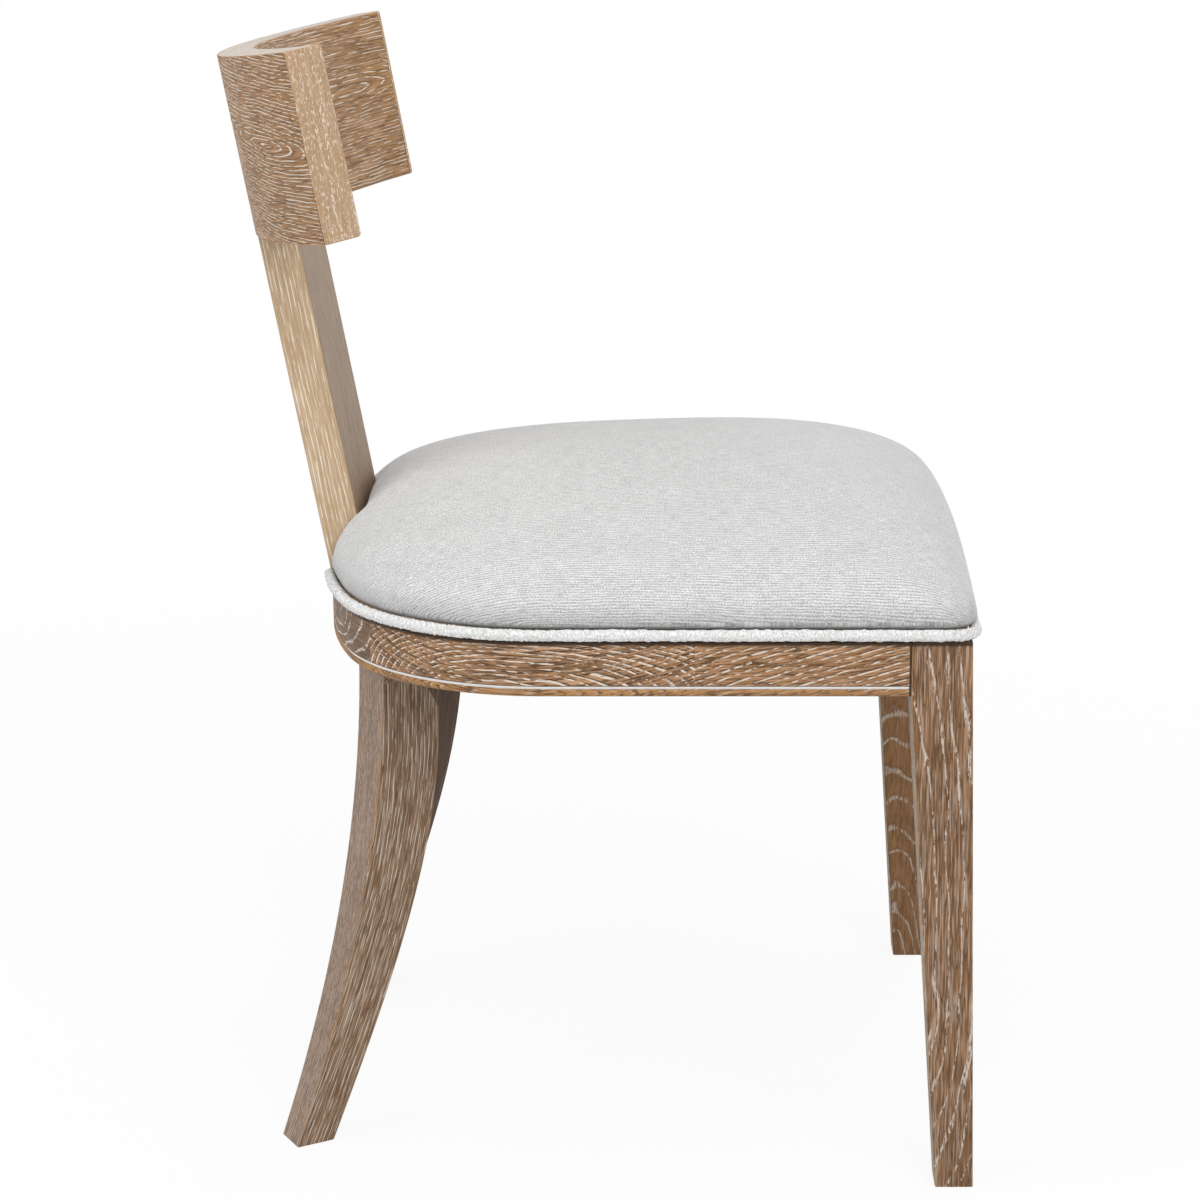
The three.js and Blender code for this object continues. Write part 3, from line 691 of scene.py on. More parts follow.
def shape_corner_rail(side):
    bm = new_mesh()
    line = JOINT_LINE / CORNER_RADIUS
    centre = (side * corner_offset, corner_y, 0)
    start = REAR_JOINT_TURN + TIGHT_JOINT / CORNER_RADIUS
    loop = rail_profile(bm, corner_place(side, start))
    loop = run_round(bm, loop, centre, -side * line)
    loop = run_round(bm, loop, centre, -side * (math.pi / 2 - start - line))
    run_straight(bm, loop, Vector((0, side_joint_y + TIGHT_JOINT - corner_y, 0)), CORNER_RAIL_STEPS)
    cap_ends(bm)
    stain_joint(bm, start)
    lay_grain(bm, rail_place)
    return bm


rear_rail_oak = limed_oak("rear rail oak", (-0.110, 0.420, 0.0), (2.0, 2.0), seed=17.0, wander=0.002,
                          rings=0.0080, lime=0.12, gaps=0.4, film=0.15, fleck=0.1,
                          brown=(0.145, 0.085, 0.046, 1))
corner_rail_oak = limed_oak("corner rail oak", (-0.31, 0.378, -0.018), (3.6, 2.2), seed=19.0,
                            wander=0.003, rings=0.0027, lime=0.24, gaps=0.46, dark=1.0, film=0.2,
                            fibres=(-0.33, 1.5), brown=(0.32, 0.168, 0.076, 1))
finished_piece("rear_rail", shape_rear_rail(), [rear_rail_oak])
for name, side in SIDES.items():
    finished_piece(f"corner_rail_{name}", shape_corner_rail(side), [corner_rail_oak])

# Rear legs
# Sabre legs sawn from thick oak, turned outward under the round of the frame.
# The head is rebated over the inside of the rail and screwed to it.
REAR_LEG_FROM_SIDE = 0.1213
REAR_LEG_SET_IN = 0.040
REAR_LEG_TURN = math.radians(30.4)
REAR_LEG_SWEEP = 0.079
REAR_LEG_FOOT_DEPTH = 0.0304
REAR_LEG_TOP_DEPTH = 0.043
REAR_LEG_KNEE = 0.010
REAR_LEG_FOOT_WIDTH = 0.030
REAR_LEG_TOP_WIDTH = 0.046
REAR_LEG_ARRIS = 0.0012
SWEEP_POWER = 1.9
KNEE_POWER = 1.6
LEG_CUTS = 40
SCOOP_DEPTH = 0.0095
SCOOP_HEIGHT = 0.043
SCOOP_RISE = 0.0185
SCOOP_CUTS = 6
OVERRUN = 0.002
rear_leg_y = rear_y - REAR_LEG_SET_IN


def rear_leg_section(z):
    """The leg's rear face, depth and width at a height, in its own turned direction."""
    share = max(0.0, min(z / rail_bottom, 1.0))
    rear = REAR_LEG_SWEEP * (1 - share) ** SWEEP_POWER
    depth = (REAR_LEG_FOOT_DEPTH + (REAR_LEG_TOP_DEPTH - REAR_LEG_FOOT_DEPTH) * share
             + REAR_LEG_KNEE * math.sin(math.pi * share ** KNEE_POWER))
    width = REAR_LEG_FOOT_WIDTH + (REAR_LEG_TOP_WIDTH - REAR_LEG_FOOT_WIDTH) * share
    scooped = (z - rail_bottom + SCOOP_HEIGHT) / SCOOP_RISE
    if scooped > 0 and z <= rail_bottom:
        depth -= SCOOP_DEPTH * min(scooped, 1.0)
    return rear, depth, width


def shape_rear_leg(side):
    bm = new_mesh()
    add_cube(bm, (-0.5, -1, 0), (0.5, 0, rail_top))
    cuts = [rail_bottom * i / LEG_CUTS for i in range(1, LEG_CUTS - 1)]
    cuts += [rail_bottom - SCOOP_HEIGHT + SCOOP_RISE * i / SCOOP_CUTS for i in range(SCOOP_CUTS + 1)]
    cuts += [rail_bottom, rail_bottom + JOINT_LINE]
    slice_across(bm, [(0, 0, z) for z in cuts], (0, 0, 1))
    for vert in bm.verts:
        rear, depth, width = rear_leg_section(vert.co.z)
        vert.co = (vert.co.x * width, rear + vert.co.y * depth, vert.co.z)
    paint(bm, 1, lambda normal: normal.y > FACING)
    # The front and inner faces take the dark third oak: painted shade.
    paint(bm, 2, lambda normal: normal.y < -FACING or side * normal.x < -FACING)
    ease_leg(bm, REAR_LEG_ARRIS, FOOT_CHAMFER / 2)

    def place_of(co):
        rear, depth, _ = rear_leg_section(min(co.z, rail_bottom - SCOOP_HEIGHT))
        return co.z, co.y - rear + depth, side * co.x

    lay_grain(bm, place_of)
    place = Matrix.Translation((side * (half_width - REAR_LEG_FROM_SIDE), rear_leg_y, 0))
    bmesh.ops.transform(bm, matrix=place @ Matrix.Rotation(-side * REAR_LEG_TURN, 4, "Z"), verts=bm.verts)
    return bm


def rebate_head(piece):
    """Cut away from a leg's head what the rail takes up."""
    bm = new_mesh()
    inner = RAIL_THICKNESS + GLUE_LINE
    low = rail_bottom - GLUE_LINE
    high = rail_top + OVERRUN
    points = [(inner, low), (inner, high), (-OVERRUN, high), (-OVERRUN, low)]
    place = corner_place(-1, math.pi / 2)
    verts = [bm.verts.new(place(inset, z)) for inset, z in points]
    loop = closed_loop(bm, verts)
    corner_turn = math.pi / 2 - blend_turn
    loop = run_round(bm, loop, (-corner_offset, corner_y, 0), -corner_turn)
    loop = run_round(bm, loop, rear_centre, -2 * blend_turn)
    run_round(bm, loop, (corner_offset, corner_y, 0), -corner_turn)
    cap_ends(bm)
    bmesh.ops.recalc_face_normals(bm, faces=bm.faces)
    cut_with(piece, bm)


def cut_with(piece, bm):
    """Take a closed mesh away from a piece for good."""
    cutter = add_object("cutter", bm)
    cut = piece.modifiers.new("cut", "BOOLEAN")
    cut.object = cutter
    cut.operation = "DIFFERENCE"
    cut.solver = "EXACT"
    piece.modifiers.move(len(piece.modifiers) - 1, 0)
    shading = piece.modifiers.get("even shading")
    if shading:
        shading.show_viewport = False
    finished = worked_out(piece)
    if shading:
        shading.show_viewport = True
    piece.modifiers.remove(cut)
    piece.data = finished
    bpy.data.objects.remove(cutter)


rear_leg_oaks = [
    limed_oak("rear leg side oak", (0.30, -0.090, 0.0), (14.0, 20.0), seed=23.0, wander=0.006, lime=0.19,
              gaps=0.55, run=12.0, dash=(60.0, 900.0), dark=0.6, fleck=0.2, film=0.42,
              brown=(0.230, 0.138, 0.077, 1), white=(0.53, 0.465, 0.40, 1)),
    limed_oak("rear leg back oak", (0.20, 0.0, -0.10), (18.0, 18.0), seed=27.0, rings=0.0024, lime=0.24,
              dash=(180.0, 1100.0), dark=0.3, fleck=0.5, brown=(0.235, 0.158, 0.108, 1),
              white=(0.46, 0.385, 0.325, 1)),
    # Painted shade: the front and inner faces get a much darker oak, standing for the shade they are in
    # under the seat.
    limed_oak("rear leg painted shade oak", (0.20, -0.050, 0.0), (14.0, 14.0), seed=29.0, lime=0.12, run=10.0,
              fleck=0.1, film=0.25, brown=(0.082, 0.042, 0.022, 1), white=(0.19, 0.14, 0.11, 1)),
]
for name, side in SIDES.items():
    rebate_head(finished_piece(f"rear_leg_{name}", shape_rear_leg(side), rear_leg_oaks))

# Back splat
# One broad oak board, tenoned at its foot into the rear rail and at its head
# into the crest. It leans back, and its foot is cut level on the rail.
BACK_LEAN = math.radians(10.4)
SPLAT_HALF_WIDTH = 0.069
SPLAT_THICKNESS = 0.0291
SPLAT_LENGTH = 0.275
SPLAT_ARRIS = 0.0010
SPLAT_TENON_HALF_WIDTH = 0.055
SPLAT_TENON_THICKNESS = 0.010
SPLAT_TENON_INSET = 0.0176
SPLAT_FOOT_TENON = 0.030
SPLAT_HEAD_TENON = 0.035
splat_rear_y = rear_centre.y + math.sqrt(REAR_RADIUS ** 2 - SPLAT_HALF_WIDTH ** 2)
splat_front_y = splat_rear_y - SPLAT_THICKNESS / math.cos(BACK_LEAN)
lean_back = Matrix.Translation((0, splat_front_y, rail_top)) @ Matrix.Rotation(-BACK_LEAN, 4, "X")


def shape_splat():
    bm = new_mesh()
    far_corner = (SPLAT_HALF_WIDTH, SPLAT_THICKNESS, SPLAT_LENGTH - GLUE_LINE)
    for vert in add_cube(bm, (-SPLAT_HALF_WIDTH, 0, 0), far_corner):
        if vert.co.z < GLUE_LINE:
            vert.co.z = (GLUE_LINE + vert.co.y * math.sin(BACK_LEAN)) / math.cos(BACK_LEAN)

    def rise_of(edge):
        return abs(edge.verts[0].co.z - edge.verts[1].co.z)

    upright = [edge for edge in sharp_edges(bm) if rise_of(edge) > SPLAT_LENGTH / 2]
    # The edges take the lighter second oak: painted light.
    paint(bm, 1, lambda normal: abs(normal.x) > FACING)
    ease(bm, upright, SPLAT_ARRIS)
    tenon_y = SPLAT_TENON_INSET + SPLAT_TENON_THICKNESS
    add_cube(bm, (-SPLAT_TENON_HALF_WIDTH, SPLAT_TENON_INSET, -SPLAT_FOOT_TENON),
             (SPLAT_TENON_HALF_WIDTH, tenon_y, SPLAT_LENGTH + SPLAT_HEAD_TENON))
    lay_grain(bm, lambda co: (co.z, co.y, co.x + SPLAT_HALF_WIDTH))
    bmesh.ops.transform(bm, matrix=lean_back, verts=bm.verts)
    return bm


splat_oaks = [
    limed_oak("splat face oak", (0.10, -0.03, -0.06), (18.0, 18.0), seed=31.0, rings=0.0060, lime=0.2,
              run=12.0, fleck=0.2, dark=0.3, brown=(0.275, 0.187, 0.118, 1), white=(0.42, 0.34, 0.26, 1)),
    # Painted light: the edges get a much lighter oak than the faces, standing for the light on the side
    # that faces the lamps.
    limed_oak("splat edge painted light oak", (0.10, -0.060, 0.0), (18.0, 18.0), seed=33.0, lime=0.2, run=12.0,
              dash=(70.0, 1000.0), dark=0.14, brown=(0.475, 0.335, 0.205, 1), white=(0.74, 0.64, 0.52, 1)),
]
finished_piece("back_splat", shape_splat(), splat_oaks)

# Crest rail
# A deep crest sawn from thick stock and curved round the sitter. A thin
# long-grain lipping is glued over each end, and its seam shows.
CREST_HEIGHT = 0.136
CREST_THICKNESS = 0.0292
CREST_RADIUS = 0.322
CREST_HALF_SPAN = 0.204
CREST_OUTER_ARRIS = 0.0011
CREST_INNER_ARRIS = 0.0026
CREST_CUTS = 90
LIPPING_THICKNESS = 0.003
LIPPING_ARRIS = 0.0012
SEAM_STAIN = 0.9
crest_centre_y = -math.sqrt(CREST_RADIUS ** 2 - SPLAT_HALF_WIDTH ** 2)
crest_end_set = LIPPING_THICKNESS + GLUE_LINE
crest_turn = (math.asin(CREST_HALF_SPAN / math.hypot(CREST_RADIUS, crest_end_set))
              - math.atan2(crest_end_set, CREST_RADIUS))
crest_middle = CREST_RADIUS + CREST_THICKNESS / 2


def bend_round_sitter(bm):
    """Bend a straight bar, along X, with its inner face at y = 0, to the crest's curve."""
    for vert in bm.verts:
        turn = max(-crest_turn, min(crest_turn, vert.co.x / crest_middle))
        past_end = vert.co.x - turn * crest_middle
        reach = CREST_RADIUS + vert.co.y
        x = reach * math.sin(turn) + past_end * math.cos(turn)
        y = crest_centre_y + reach * math.cos(turn) - past_end * math.sin(turn)
        vert.co = (x, y, vert.co.z)
    bmesh.ops.translate(bm, vec=(0, 0, SPLAT_LENGTH), verts=bm.verts)
    bmesh.ops.transform(bm, matrix=lean_back, verts=bm.verts)


def ease_long_edges(bm):
    """Round the long edges over, the two inside ones more."""
    def run_of(edge):
        return abs(edge.verts[0].co.x - edge.verts[1].co.x)

    long_edges = [edge for edge in sharp_edges(bm) if run_of(edge) > GLUE_LINE]
    inner = [edge for edge in long_edges if edge.verts[0].co.y < GLUE_LINE]
    outer = [edge for edge in long_edges if edge.verts[0].co.y >= GLUE_LINE]
    ease(bm, inner, CREST_INNER_ARRIS)
    ease(bm, [edge for edge in outer if edge.is_valid], CREST_OUTER_ARRIS)


def shape_crest():
    half = crest_turn * crest_middle
    bm = new_mesh()
    add_cube(bm, (-half, 0, 0), (half, CREST_THICKNESS, CREST_HEIGHT))
    cuts = [half * (2 * i / CREST_CUTS - 1) for i in range(1, CREST_CUTS)]
    slice_across(bm, [(x, 0, 0) for x in (JOINT_LINE - half, *cuts, half - JOINT_LINE)], (1, 0, 0))
    slice_across(bm, [(0, 0, CREST_HEIGHT / 2)], (0, 0, 1))
    paint(bm, 1, lambda normal: normal.y < -FACING)
    # The top and bottom faces take the pale third oak: painted light.
    paint(bm, 2, lambda normal: abs(normal.z) > FACING)
    ease_long_edges(bm)

    def at_low_seam(vert):
        return abs(vert.co.x) > half - GLUE_LINE and vert.co.z <= CREST_HEIGHT / 2

    mark(bm, at_low_seam, stain_and_shade=SEAM_STAIN)
    lay_grain(bm, lambda co: (co.x, co.z, co.y))
    bend_round_sitter(bm)
    return bm


def shape_lipping(side):
    inner = crest_turn * crest_middle + GLUE_LINE
    outer = inner + LIPPING_THICKNESS
    ends = sorted((side * inner, side * outer))
    bm = new_mesh()
    add_cube(bm, (ends[0], 0, 0), (ends[1], CREST_THICKNESS, CREST_HEIGHT))
    slice_across(bm, [(0, 0, CREST_HEIGHT / 2)], (0, 0, 1))
    ease_long_edges(bm)
    rim = [edge for edge in sharp_edges(bm) if min(abs(v.co.x) for v in edge.verts) > outer - GLUE_LINE]
    ease(bm, rim, LIPPING_ARRIS)
    lay_grain(bm, lambda co: (co.z, co.y, side * co.x))
    bend_round_sitter(bm)
    return bm


crest_oaks = [
    limed_oak("crest outer oak", (-0.168, 0.072, 0.030), (6.0, 8.0), seed=37.0, slope=-0.13, wander=0.006,
              rings=0.0027, lime=0.20, gaps=0.34, dash=(60.0, 800.0), dark=0.62, film=0.12,
              brown=(0.315, 0.168, 0.075, 1)),
    limed_oak("crest inner oak", (0.172, 0.080, -0.007), (12.0, 6.0), seed=39.0, wander=0.007,
              rings=0.0028, lime=0.18, dash=(60.0, 800.0), dark=0.6, film=0.12,
              brown=(0.335, 0.185, 0.083, 1)),
    # Painted light: a paler, greyer oak on the top and bottom faces, standing for the light and sheen from
    # above.
    limed_oak("crest edge painted light oak", (0.0, 0.0, -0.10), (14.0, 14.0), seed=40.0, lime=0.15, dark=0.2,
              brown=(0.50, 0.44, 0.385, 1), white=(0.56, 0.50, 0.45, 1)),
]
lipping_oak = limed_oak("lipping oak", (-0.02, -0.060, 0.0), (12.0, 12.0), seed=41.0, wander=0.002,
                        rings=0.0022, lime=0.3, gaps=0.7, run=40.0, dash=(300.0, 1000.0), dark=0.14,
                        fleck=1.0, film=0.15, brown=(0.43, 0.285, 0.170, 1),
                        white=(0.68, 0.565, 0.445, 1))
finished_piece("crest_rail", shape_crest(), crest_oaks)
for name, side in SIDES.items():
    finished_piece(f"crest_lipping_{name}", shape_lipping(side), [lipping_oak])

# Blocks, cleats and tongues
# Plain sawn oak with no finish: blocks glued in the front corners, cleats on
# the sides, and loose tongues across the joints of the rails.
PLAIN_OAK = (0.42, 0.29, 0.165, 1)
PLAIN_OAK_DARK = (0.27, 0.17, 0.088, 1)
PLAIN_FIBRE_SCALE = (60.0, 60.0, 700.0)
SAW_MARK_SCALE = (260.0, 260.0, 30.0)
SAW_MARK_SHIFT = (3.0, 1.0, 2.0)
SAW_MARK_RELIEF = 0.0004
SAW_MARK_TINT = 0.35
PLAIN_TONE = (0.45, 0.95)


def sawn_oak():
    """Unfinished oak with saw marks, on the piece's own coordinates."""
    material, shader = new_material("sawn oak")
    place = own_place(shader)
    fibre = noise(place, PLAIN_FIBRE_SCALE, detail=3.0)
    marks = noise(place, SAW_MARK_SCALE, SAW_MARK_SHIFT)
    tone = ramp(plus(marks, SAW_MARK_TINT, fibre), *PLAIN_TONE)
    feed(shader, {"Base Color": mix(tone, PLAIN_OAK_DARK, PLAIN_OAK), "Roughness": 0.8})
    add_relief(shader, marks, SAW_MARK_RELIEF, 0.3)
    return material


def dress(name, material):
    """Give a CAD node its material."""
    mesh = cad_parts[name].data
    mesh.materials.clear()
    mesh.materials.append(material)


def dress_pairs(kinds, material):
    """Give the CAD nodes on both sides of the chair their material."""
    for kind in kinds:
        for name in SIDES:
            dress(f"{kind}_{name}", material)


dress_pairs(("corner_block", "seat_cleat", "side_joint_tongue", "rear_joint_tongue"), sawn_oak())

# Screws
# Zinc-plated countersunk screws hold the blocks, the rear legs and the seat
# board. Only their heads show, from below and from inside the frame.
ZINC = (0.58, 0.59, 0.60, 1)
ZINC_DULL = (0.42, 0.43, 0.44, 1)
ZINC_CLOUD_SCALE = (900.0, 900.0, 900.0)
ZINC_CLOUD_FADE = (0.3, 0.7)
ZINC_ROUGHNESS = (0.28, 0.5)


def zinc_plate():
    """Zinc plating, slightly clouded."""
    material, shader = new_material("zinc plate")
    cloud = noise(own_place(shader), ZINC_CLOUD_SCALE, detail=3.0)
    feed(shader, {
        "Base Color": mix(cloud, ZINC_DULL, ZINC),
        "Roughness": ramp(cloud, *ZINC_CLOUD_FADE, *ZINC_ROUGHNESS),
        "Metallic": 1.0,
    })
    return material


dress_pairs(("corner_block_screw", "front_seat_screw", "rear_seat_screw", "rear_leg_inner_screw",
             "rear_leg_outer_screw"), zinc_plate())

# Seat board
# Twelve millimetres of birch plywood, its plies showing along the edge. The
# pad is built on it and it is screwed down from below.
PLY_PITCH = 0.0015
BIRCH = (0.66, 0.52, 0.34, 1)
BIRCH_FIGURE = (0.50, 0.36, 0.21, 1)
BIRCH_SCALE = (12.0, 160.0, 12.0)
BIRCH_FADE = (0.35, 0.7)
PLY_LIGHT = (0.55, 0.41, 0.25, 1)
PLY_DARK = (0.30, 0.19, 0.10, 1)
PLY_FADE = (-0.2, 0.2)
LEVEL_FADE = (0.4, 0.6)


def birch_plywood():
    """Birch face veneer, with darker crossed plies along the edges."""
    material, shader = new_material("birch plywood")
    place = own_place(shader)
    figure = noise(place, BIRCH_SCALE, detail=3.0)
    face = mix(ramp(figure, *BIRCH_FADE), BIRCH_FIGURE, BIRCH)
    height = split(place)["Z"]
    plies = ramp(sums("SINE", times(height, math.pi / PLY_PITCH)), *PLY_FADE)
    edge = mix(plies, PLY_DARK, PLY_LIGHT)
    normal = node(shader, "ShaderNodeNewGeometry").outputs["Normal"]
    level = sums("ABSOLUTE", split(normal)["Z"])
    colour = mix(ramp(level, *LEVEL_FADE), edge, face)
    feed(shader, {"Base Color": colour, "Roughness": 0.75})
    return material


dress("seat_board", birch_plywood())

# Seat pad
# A block of foam on the board under a sewn linen cover. The cover is pulled in
# over the piping, stands proud of the frame and is notched round the splat.
PAD_FRONT_OVERHANG = 0.0014
PAD_CORNER_RADIUS = 0.016
COVER_PROUD = 0.005
COVER_FLARE = 0.002
COVER_FRONT_REACH = 0.0027
COVER_FRONT_BOW = 0.0049
CROWN_CORNER_SPREAD = 0.112
CUSHION_SIDE_RISE = 0.038
CUSHION_CROWN_RISE = 0.056
CROWN_LEAD_Y = 0.108
CROWN_HALF_LENGTH = 0.606
SIDE_POWER = 8.5
SIDE_ROUNDNESS = 2.0
CROWN_POWER = 3.0
CROWN_ROUNDNESS = 1.7
CROWN_CENTRE_SHARE = 0.525
CROWN_TOP_SHARE = 0.03
CROWN_RINGS = 34
SPLAT_GAP = 0.0028
NOTCH_REACH = 0.159
HEM_INSET = 0.004
HEM_BOTTOM = 0.002
VOXEL = 0.0045
SWELL_START = 0.0014
SWELL_CAP = 0.0022
SWELL_FRAMES = 20
SWELL_PRESSURE = 4.0
SWELL_QUALITY = 5
SMOOTH_PASSES = 6
PAD_STEPS = {"rear": 12, "corner": 22, "side": 14, "front corner": 10, "front": 16}
welt_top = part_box("seat_piping")[1].z
frame_depth = rear_y - front_y
base_z = welt_top + GLUE_LINE + COVER_FLARE


def arc(centre, radius, start, end, steps):
    """Points on an arc that turns from the rear towards the left, without the last one."""
    turns = [start + (end - start) * i / steps for i in range(steps)]
    return [(centre[0] + radius * math.sin(t), centre[1] + radius * math.cos(t)) for t in turns]


def pad_half(proud, front_radius, reach, bow):
    """Points from the middle of the back round the left side to the middle of the front."""
    quarter = math.pi / 2
    corner_x = half_width - front_radius
    front_corner_y = front_y - PAD_FRONT_OVERHANG - reach + front_radius
    points = arc(rear_centre, REAR_RADIUS + proud, 0, blend_turn, PAD_STEPS["rear"])
    points += arc((corner_offset, corner_y), CORNER_RADIUS + proud, blend_turn, quarter,
                  PAD_STEPS["corner"])
    for i in range(PAD_STEPS["side"]):
        share = i / PAD_STEPS["side"]
        points.append((half_width + proud, corner_y + (front_corner_y - corner_y) * share))
    points += arc((corner_x, front_corner_y), front_radius + proud, quarter, math.pi,
                  PAD_STEPS["front corner"])
    for i in range(PAD_STEPS["front"] + 1):
        share = 1 - i / PAD_STEPS["front"]
        y = front_corner_y - front_radius - proud - bow * (1 - share ** 2)
        points.append((corner_x * share, y))
    return points


def pad_ring(*outline):
    """The closed outline of the pad."""
    left = pad_half(*outline)
    return left + [(-x, y) for x, y in reversed(left[1:-1])]


def cushion_rise(x, y, share):
    """Height over the base: a steep side, then a dome that falls to the sides and ends."""
    across = x / (half_width + COVER_PROUD)
    along = (y - front_y - CROWN_LEAD_Y) / CROWN_HALF_LENGTH
    side = CUSHION_SIDE_RISE * (1 - share ** SIDE_POWER) ** (1 / SIDE_ROUNDNESS)
    crown = CUSHION_CROWN_RISE * (1 - share ** CROWN_POWER) ** (1 / CROWN_ROUNDNESS)
    return side + crown * (1 - across ** 2) * (1 - along ** 2)


def pad_levels(shrink, floor_z):
    """The pad's rings from the hem to the crown, each a list of points."""
    hem = pad_ring(-HEM_INSET - shrink, PAD_CORNER_RADIUS, 0, 0)
    levels = [[(x, y, floor_z) for x, y in hem], [(x, y, welt_top - COVER_FLARE) for x, y in hem]]
    middle_y = front_y + frame_depth * CROWN_CENTRE_SHARE
    for i in range(CROWN_RINGS + 1):
        share = 1 - (1 - CROWN_TOP_SHARE) * (i / CROWN_RINGS) ** 2
        front_radius = PAD_CORNER_RADIUS + CROWN_CORNER_SPREAD * math.sqrt(1 - share)
        ring = pad_ring(COVER_PROUD - shrink, front_radius, COVER_FRONT_REACH, COVER_FRONT_BOW)
        ring = [(x * share, middle_y + (y - middle_y) * share) for x, y in ring]
        levels.append([(x, y, base_z - shrink + cushion_rise(x, y, share)) for x, y in ring])
    return levels


def flat_cloth(levels):
    """Where the rings' points lie on the flat cloth: moved out by what the slopes above take up."""
    flats = []
    spare = [0.0] * len(levels[0])
    above = levels[-1]
    for ring in reversed(levels):
        flat = []
        for j, place in enumerate(ring):
            step = Vector(place) - Vector(above[j])
            spare[j] += step.length - step.xy.length
            ahead = (Vector(ring[(j + 1) % len(ring)]) - Vector(ring[j - 1])).normalized()
            flat.append((place[0] - ahead.y * spare[j], place[1] + ahead.x * spare[j], 0))
        flats.insert(0, flat)
        above = ring
    return flats


def next_loop(bm, verts, edges):
    """Extrude a loop in place, and return its new points in the old ones' order and its edges."""
    made, edges = extrude(bm, edges)
    old = set(verts)
    above = {}
    for vert in made:
        below = next(edge.other_vert(vert) for edge in vert.link_edges if edge.other_vert(vert) in old)
        above[below] = vert
    return [above[vert] for vert in verts], edges


def skin_levels(levels):
    """A closed mesh drawn up from ring to ring, with the cloth's place at each point."""
    bm = bmesh.new()
    weave = bm.verts.layers.float_vector.new("weave")
    verts = bmesh.ops.create_circle(bm, cap_ends=True, radius=1.0, segments=len(levels[0]))["verts"]
    edges = bm.edges[:]
    for number, (level, flat) in enumerate(zip(levels, flat_cloth(levels))):
        if number:
            verts, edges = next_loop(bm, verts, edges)
        for vert, place, cloth_place in zip(verts, level, flat):
            vert.co = place
            vert[weave] = cloth_place
    cap_ends(bm)
    bmesh.ops.recalc_face_normals(bm, faces=bm.faces)
    return bm


def notch_for_splat(piece, clearance):
    """Cut the pad clear of the splat, open to the rear."""
    bm = bmesh.new()
    add_cube(bm, (-SPLAT_HALF_WIDTH - clearance, -clearance - SPLAT_GAP, -SPLAT_FOOT_TENON),
             (SPLAT_HALF_WIDTH + clearance, NOTCH_REACH, SPLAT_LENGTH))
    bmesh.ops.transform(bm, matrix=lean_back, verts=bm.verts)
    cut_with(piece, bm)


def pad_piece(name, shrink, floor_z, voxel, clearance):
    """A remeshed pad of the given size as a new object."""
    piece = add_object(name, skin_levels(pad_levels(shrink, floor_z)))
    notch_for_splat(piece, clearance)
    remesh = piece.modifiers.new("even mesh", "REMESH")
    remesh.mode = "VOXEL"
    remesh.voxel_size = voxel
    piece.data = worked_out(piece)
    piece.modifiers.clear()
    bm = bmesh.new()
    bm.from_mesh(piece.data)
    for _ in range(SMOOTH_PASSES):
        bmesh.ops.smooth_vert(bm, verts=bm.verts, factor=0.5,
                              use_axis_x=True, use_axis_y=True, use_axis_z=True)
    for face in bm.faces:
        face.smooth = True
    bm.to_mesh(piece.data)
    bm.free()
    return piece


def points_of(mesh):
    places = np.empty(len(mesh.vertices) * 3)
    mesh.vertices.foreach_get("co", places)
    return places.reshape(-1, 3)


def swell(piece):
    """Blow the cover up from inside as cloth, and keep a small part of the way it moves."""
    start = points_of(piece.data)
    cloth = piece.modifiers.new("swell", "CLOTH")
    cloth.settings.use_pressure = True
    cloth.settings.uniform_pressure_force = SWELL_PRESSURE
    cloth.settings.effector_weights.gravity = 0.0
    cloth.settings.quality = SWELL_QUALITY
    cloth.collision_settings.use_collision = False
    cloth.point_cache.frame_start = 1
    cloth.point_cache.frame_end = SWELL_FRAMES
    for step in range(1, SWELL_FRAMES + 1):
        bpy.context.scene.frame_set(step)
    move = points_of(worked_out(piece)) - start
    piece.modifiers.clear()
    bpy.context.scene.frame_set(1)
    reach = np.linalg.norm(move, axis=1, keepdims=True)
    move *= SWELL_CAP / np.maximum(reach, SWELL_CAP)
    piece.data.vertices.foreach_set("co", (start + move).ravel())
    piece.data.update()


def lay_weave(piece, skin):
    """Give each point its place on the flat cloth, from the nearest place on the drawn form."""
    layer = skin.verts.layers.float_vector["weave"]
    nearest = BVHTree.FromBMesh(skin)
    skin.faces.ensure_lookup_table()
    weave = []
    for vertex in piece.data.vertices:
        place, _, number, _ = nearest.find_nearest(vertex.co)
        corners = skin.faces[number].verts[:]
        shares = poly_3d_calc([corner.co for corner in corners], place)
        weave.extend(sum((corner[layer] * share for corner, share in zip(corners, shares)), Vector()))
    piece.data.attributes.new("weave", "FLOAT_VECTOR", "POINT").data.foreach_set("vector", weave)
    skin.free()


ROW_PITCH = 0.0021
ROW_SWAY = 14.0
LINEN_NOISE = {  # each one's scale, shift and detail
    "sway": ((60.0, 14.0, 1.0), (4.0, 1.0, 0.0), 2.0),
    "slubs": ((900.0, 110.0, 1.0), (9.0, 3.0, 0.0), 1.0),
    "dots": ((1300.0, 900.0, 1.0), (1.0, 7.0, 0.0), 1.0),
    "cloud": ((45.0, 30.0, 1.0), (2.0, 5.0, 0.0), 3.0),
}
LINEN_LIGHT = (0.76, 0.76, 0.755, 1)
LINEN_DARK = (0.31, 0.31, 0.312, 1)
SEAM_SHADE = (0.03, 0.026, 0.024, 1)
ROW_RELIEF = 0.11
SLUB_RELIEF = 0.4
CLOUD_TINT = 0.1
LINEN_TONE = (0.45, 1.08)
SEAM_DOT_FADE = (0.35, 0.6)
SEAM_DOT_LEFT = 0.6
LOW_BAND = 0.020
LOW_SHADE = 0.78
WEAVE_RELIEF = 0.0004
FOAM_LIGHT = (0.85, 0.78, 0.52, 1)
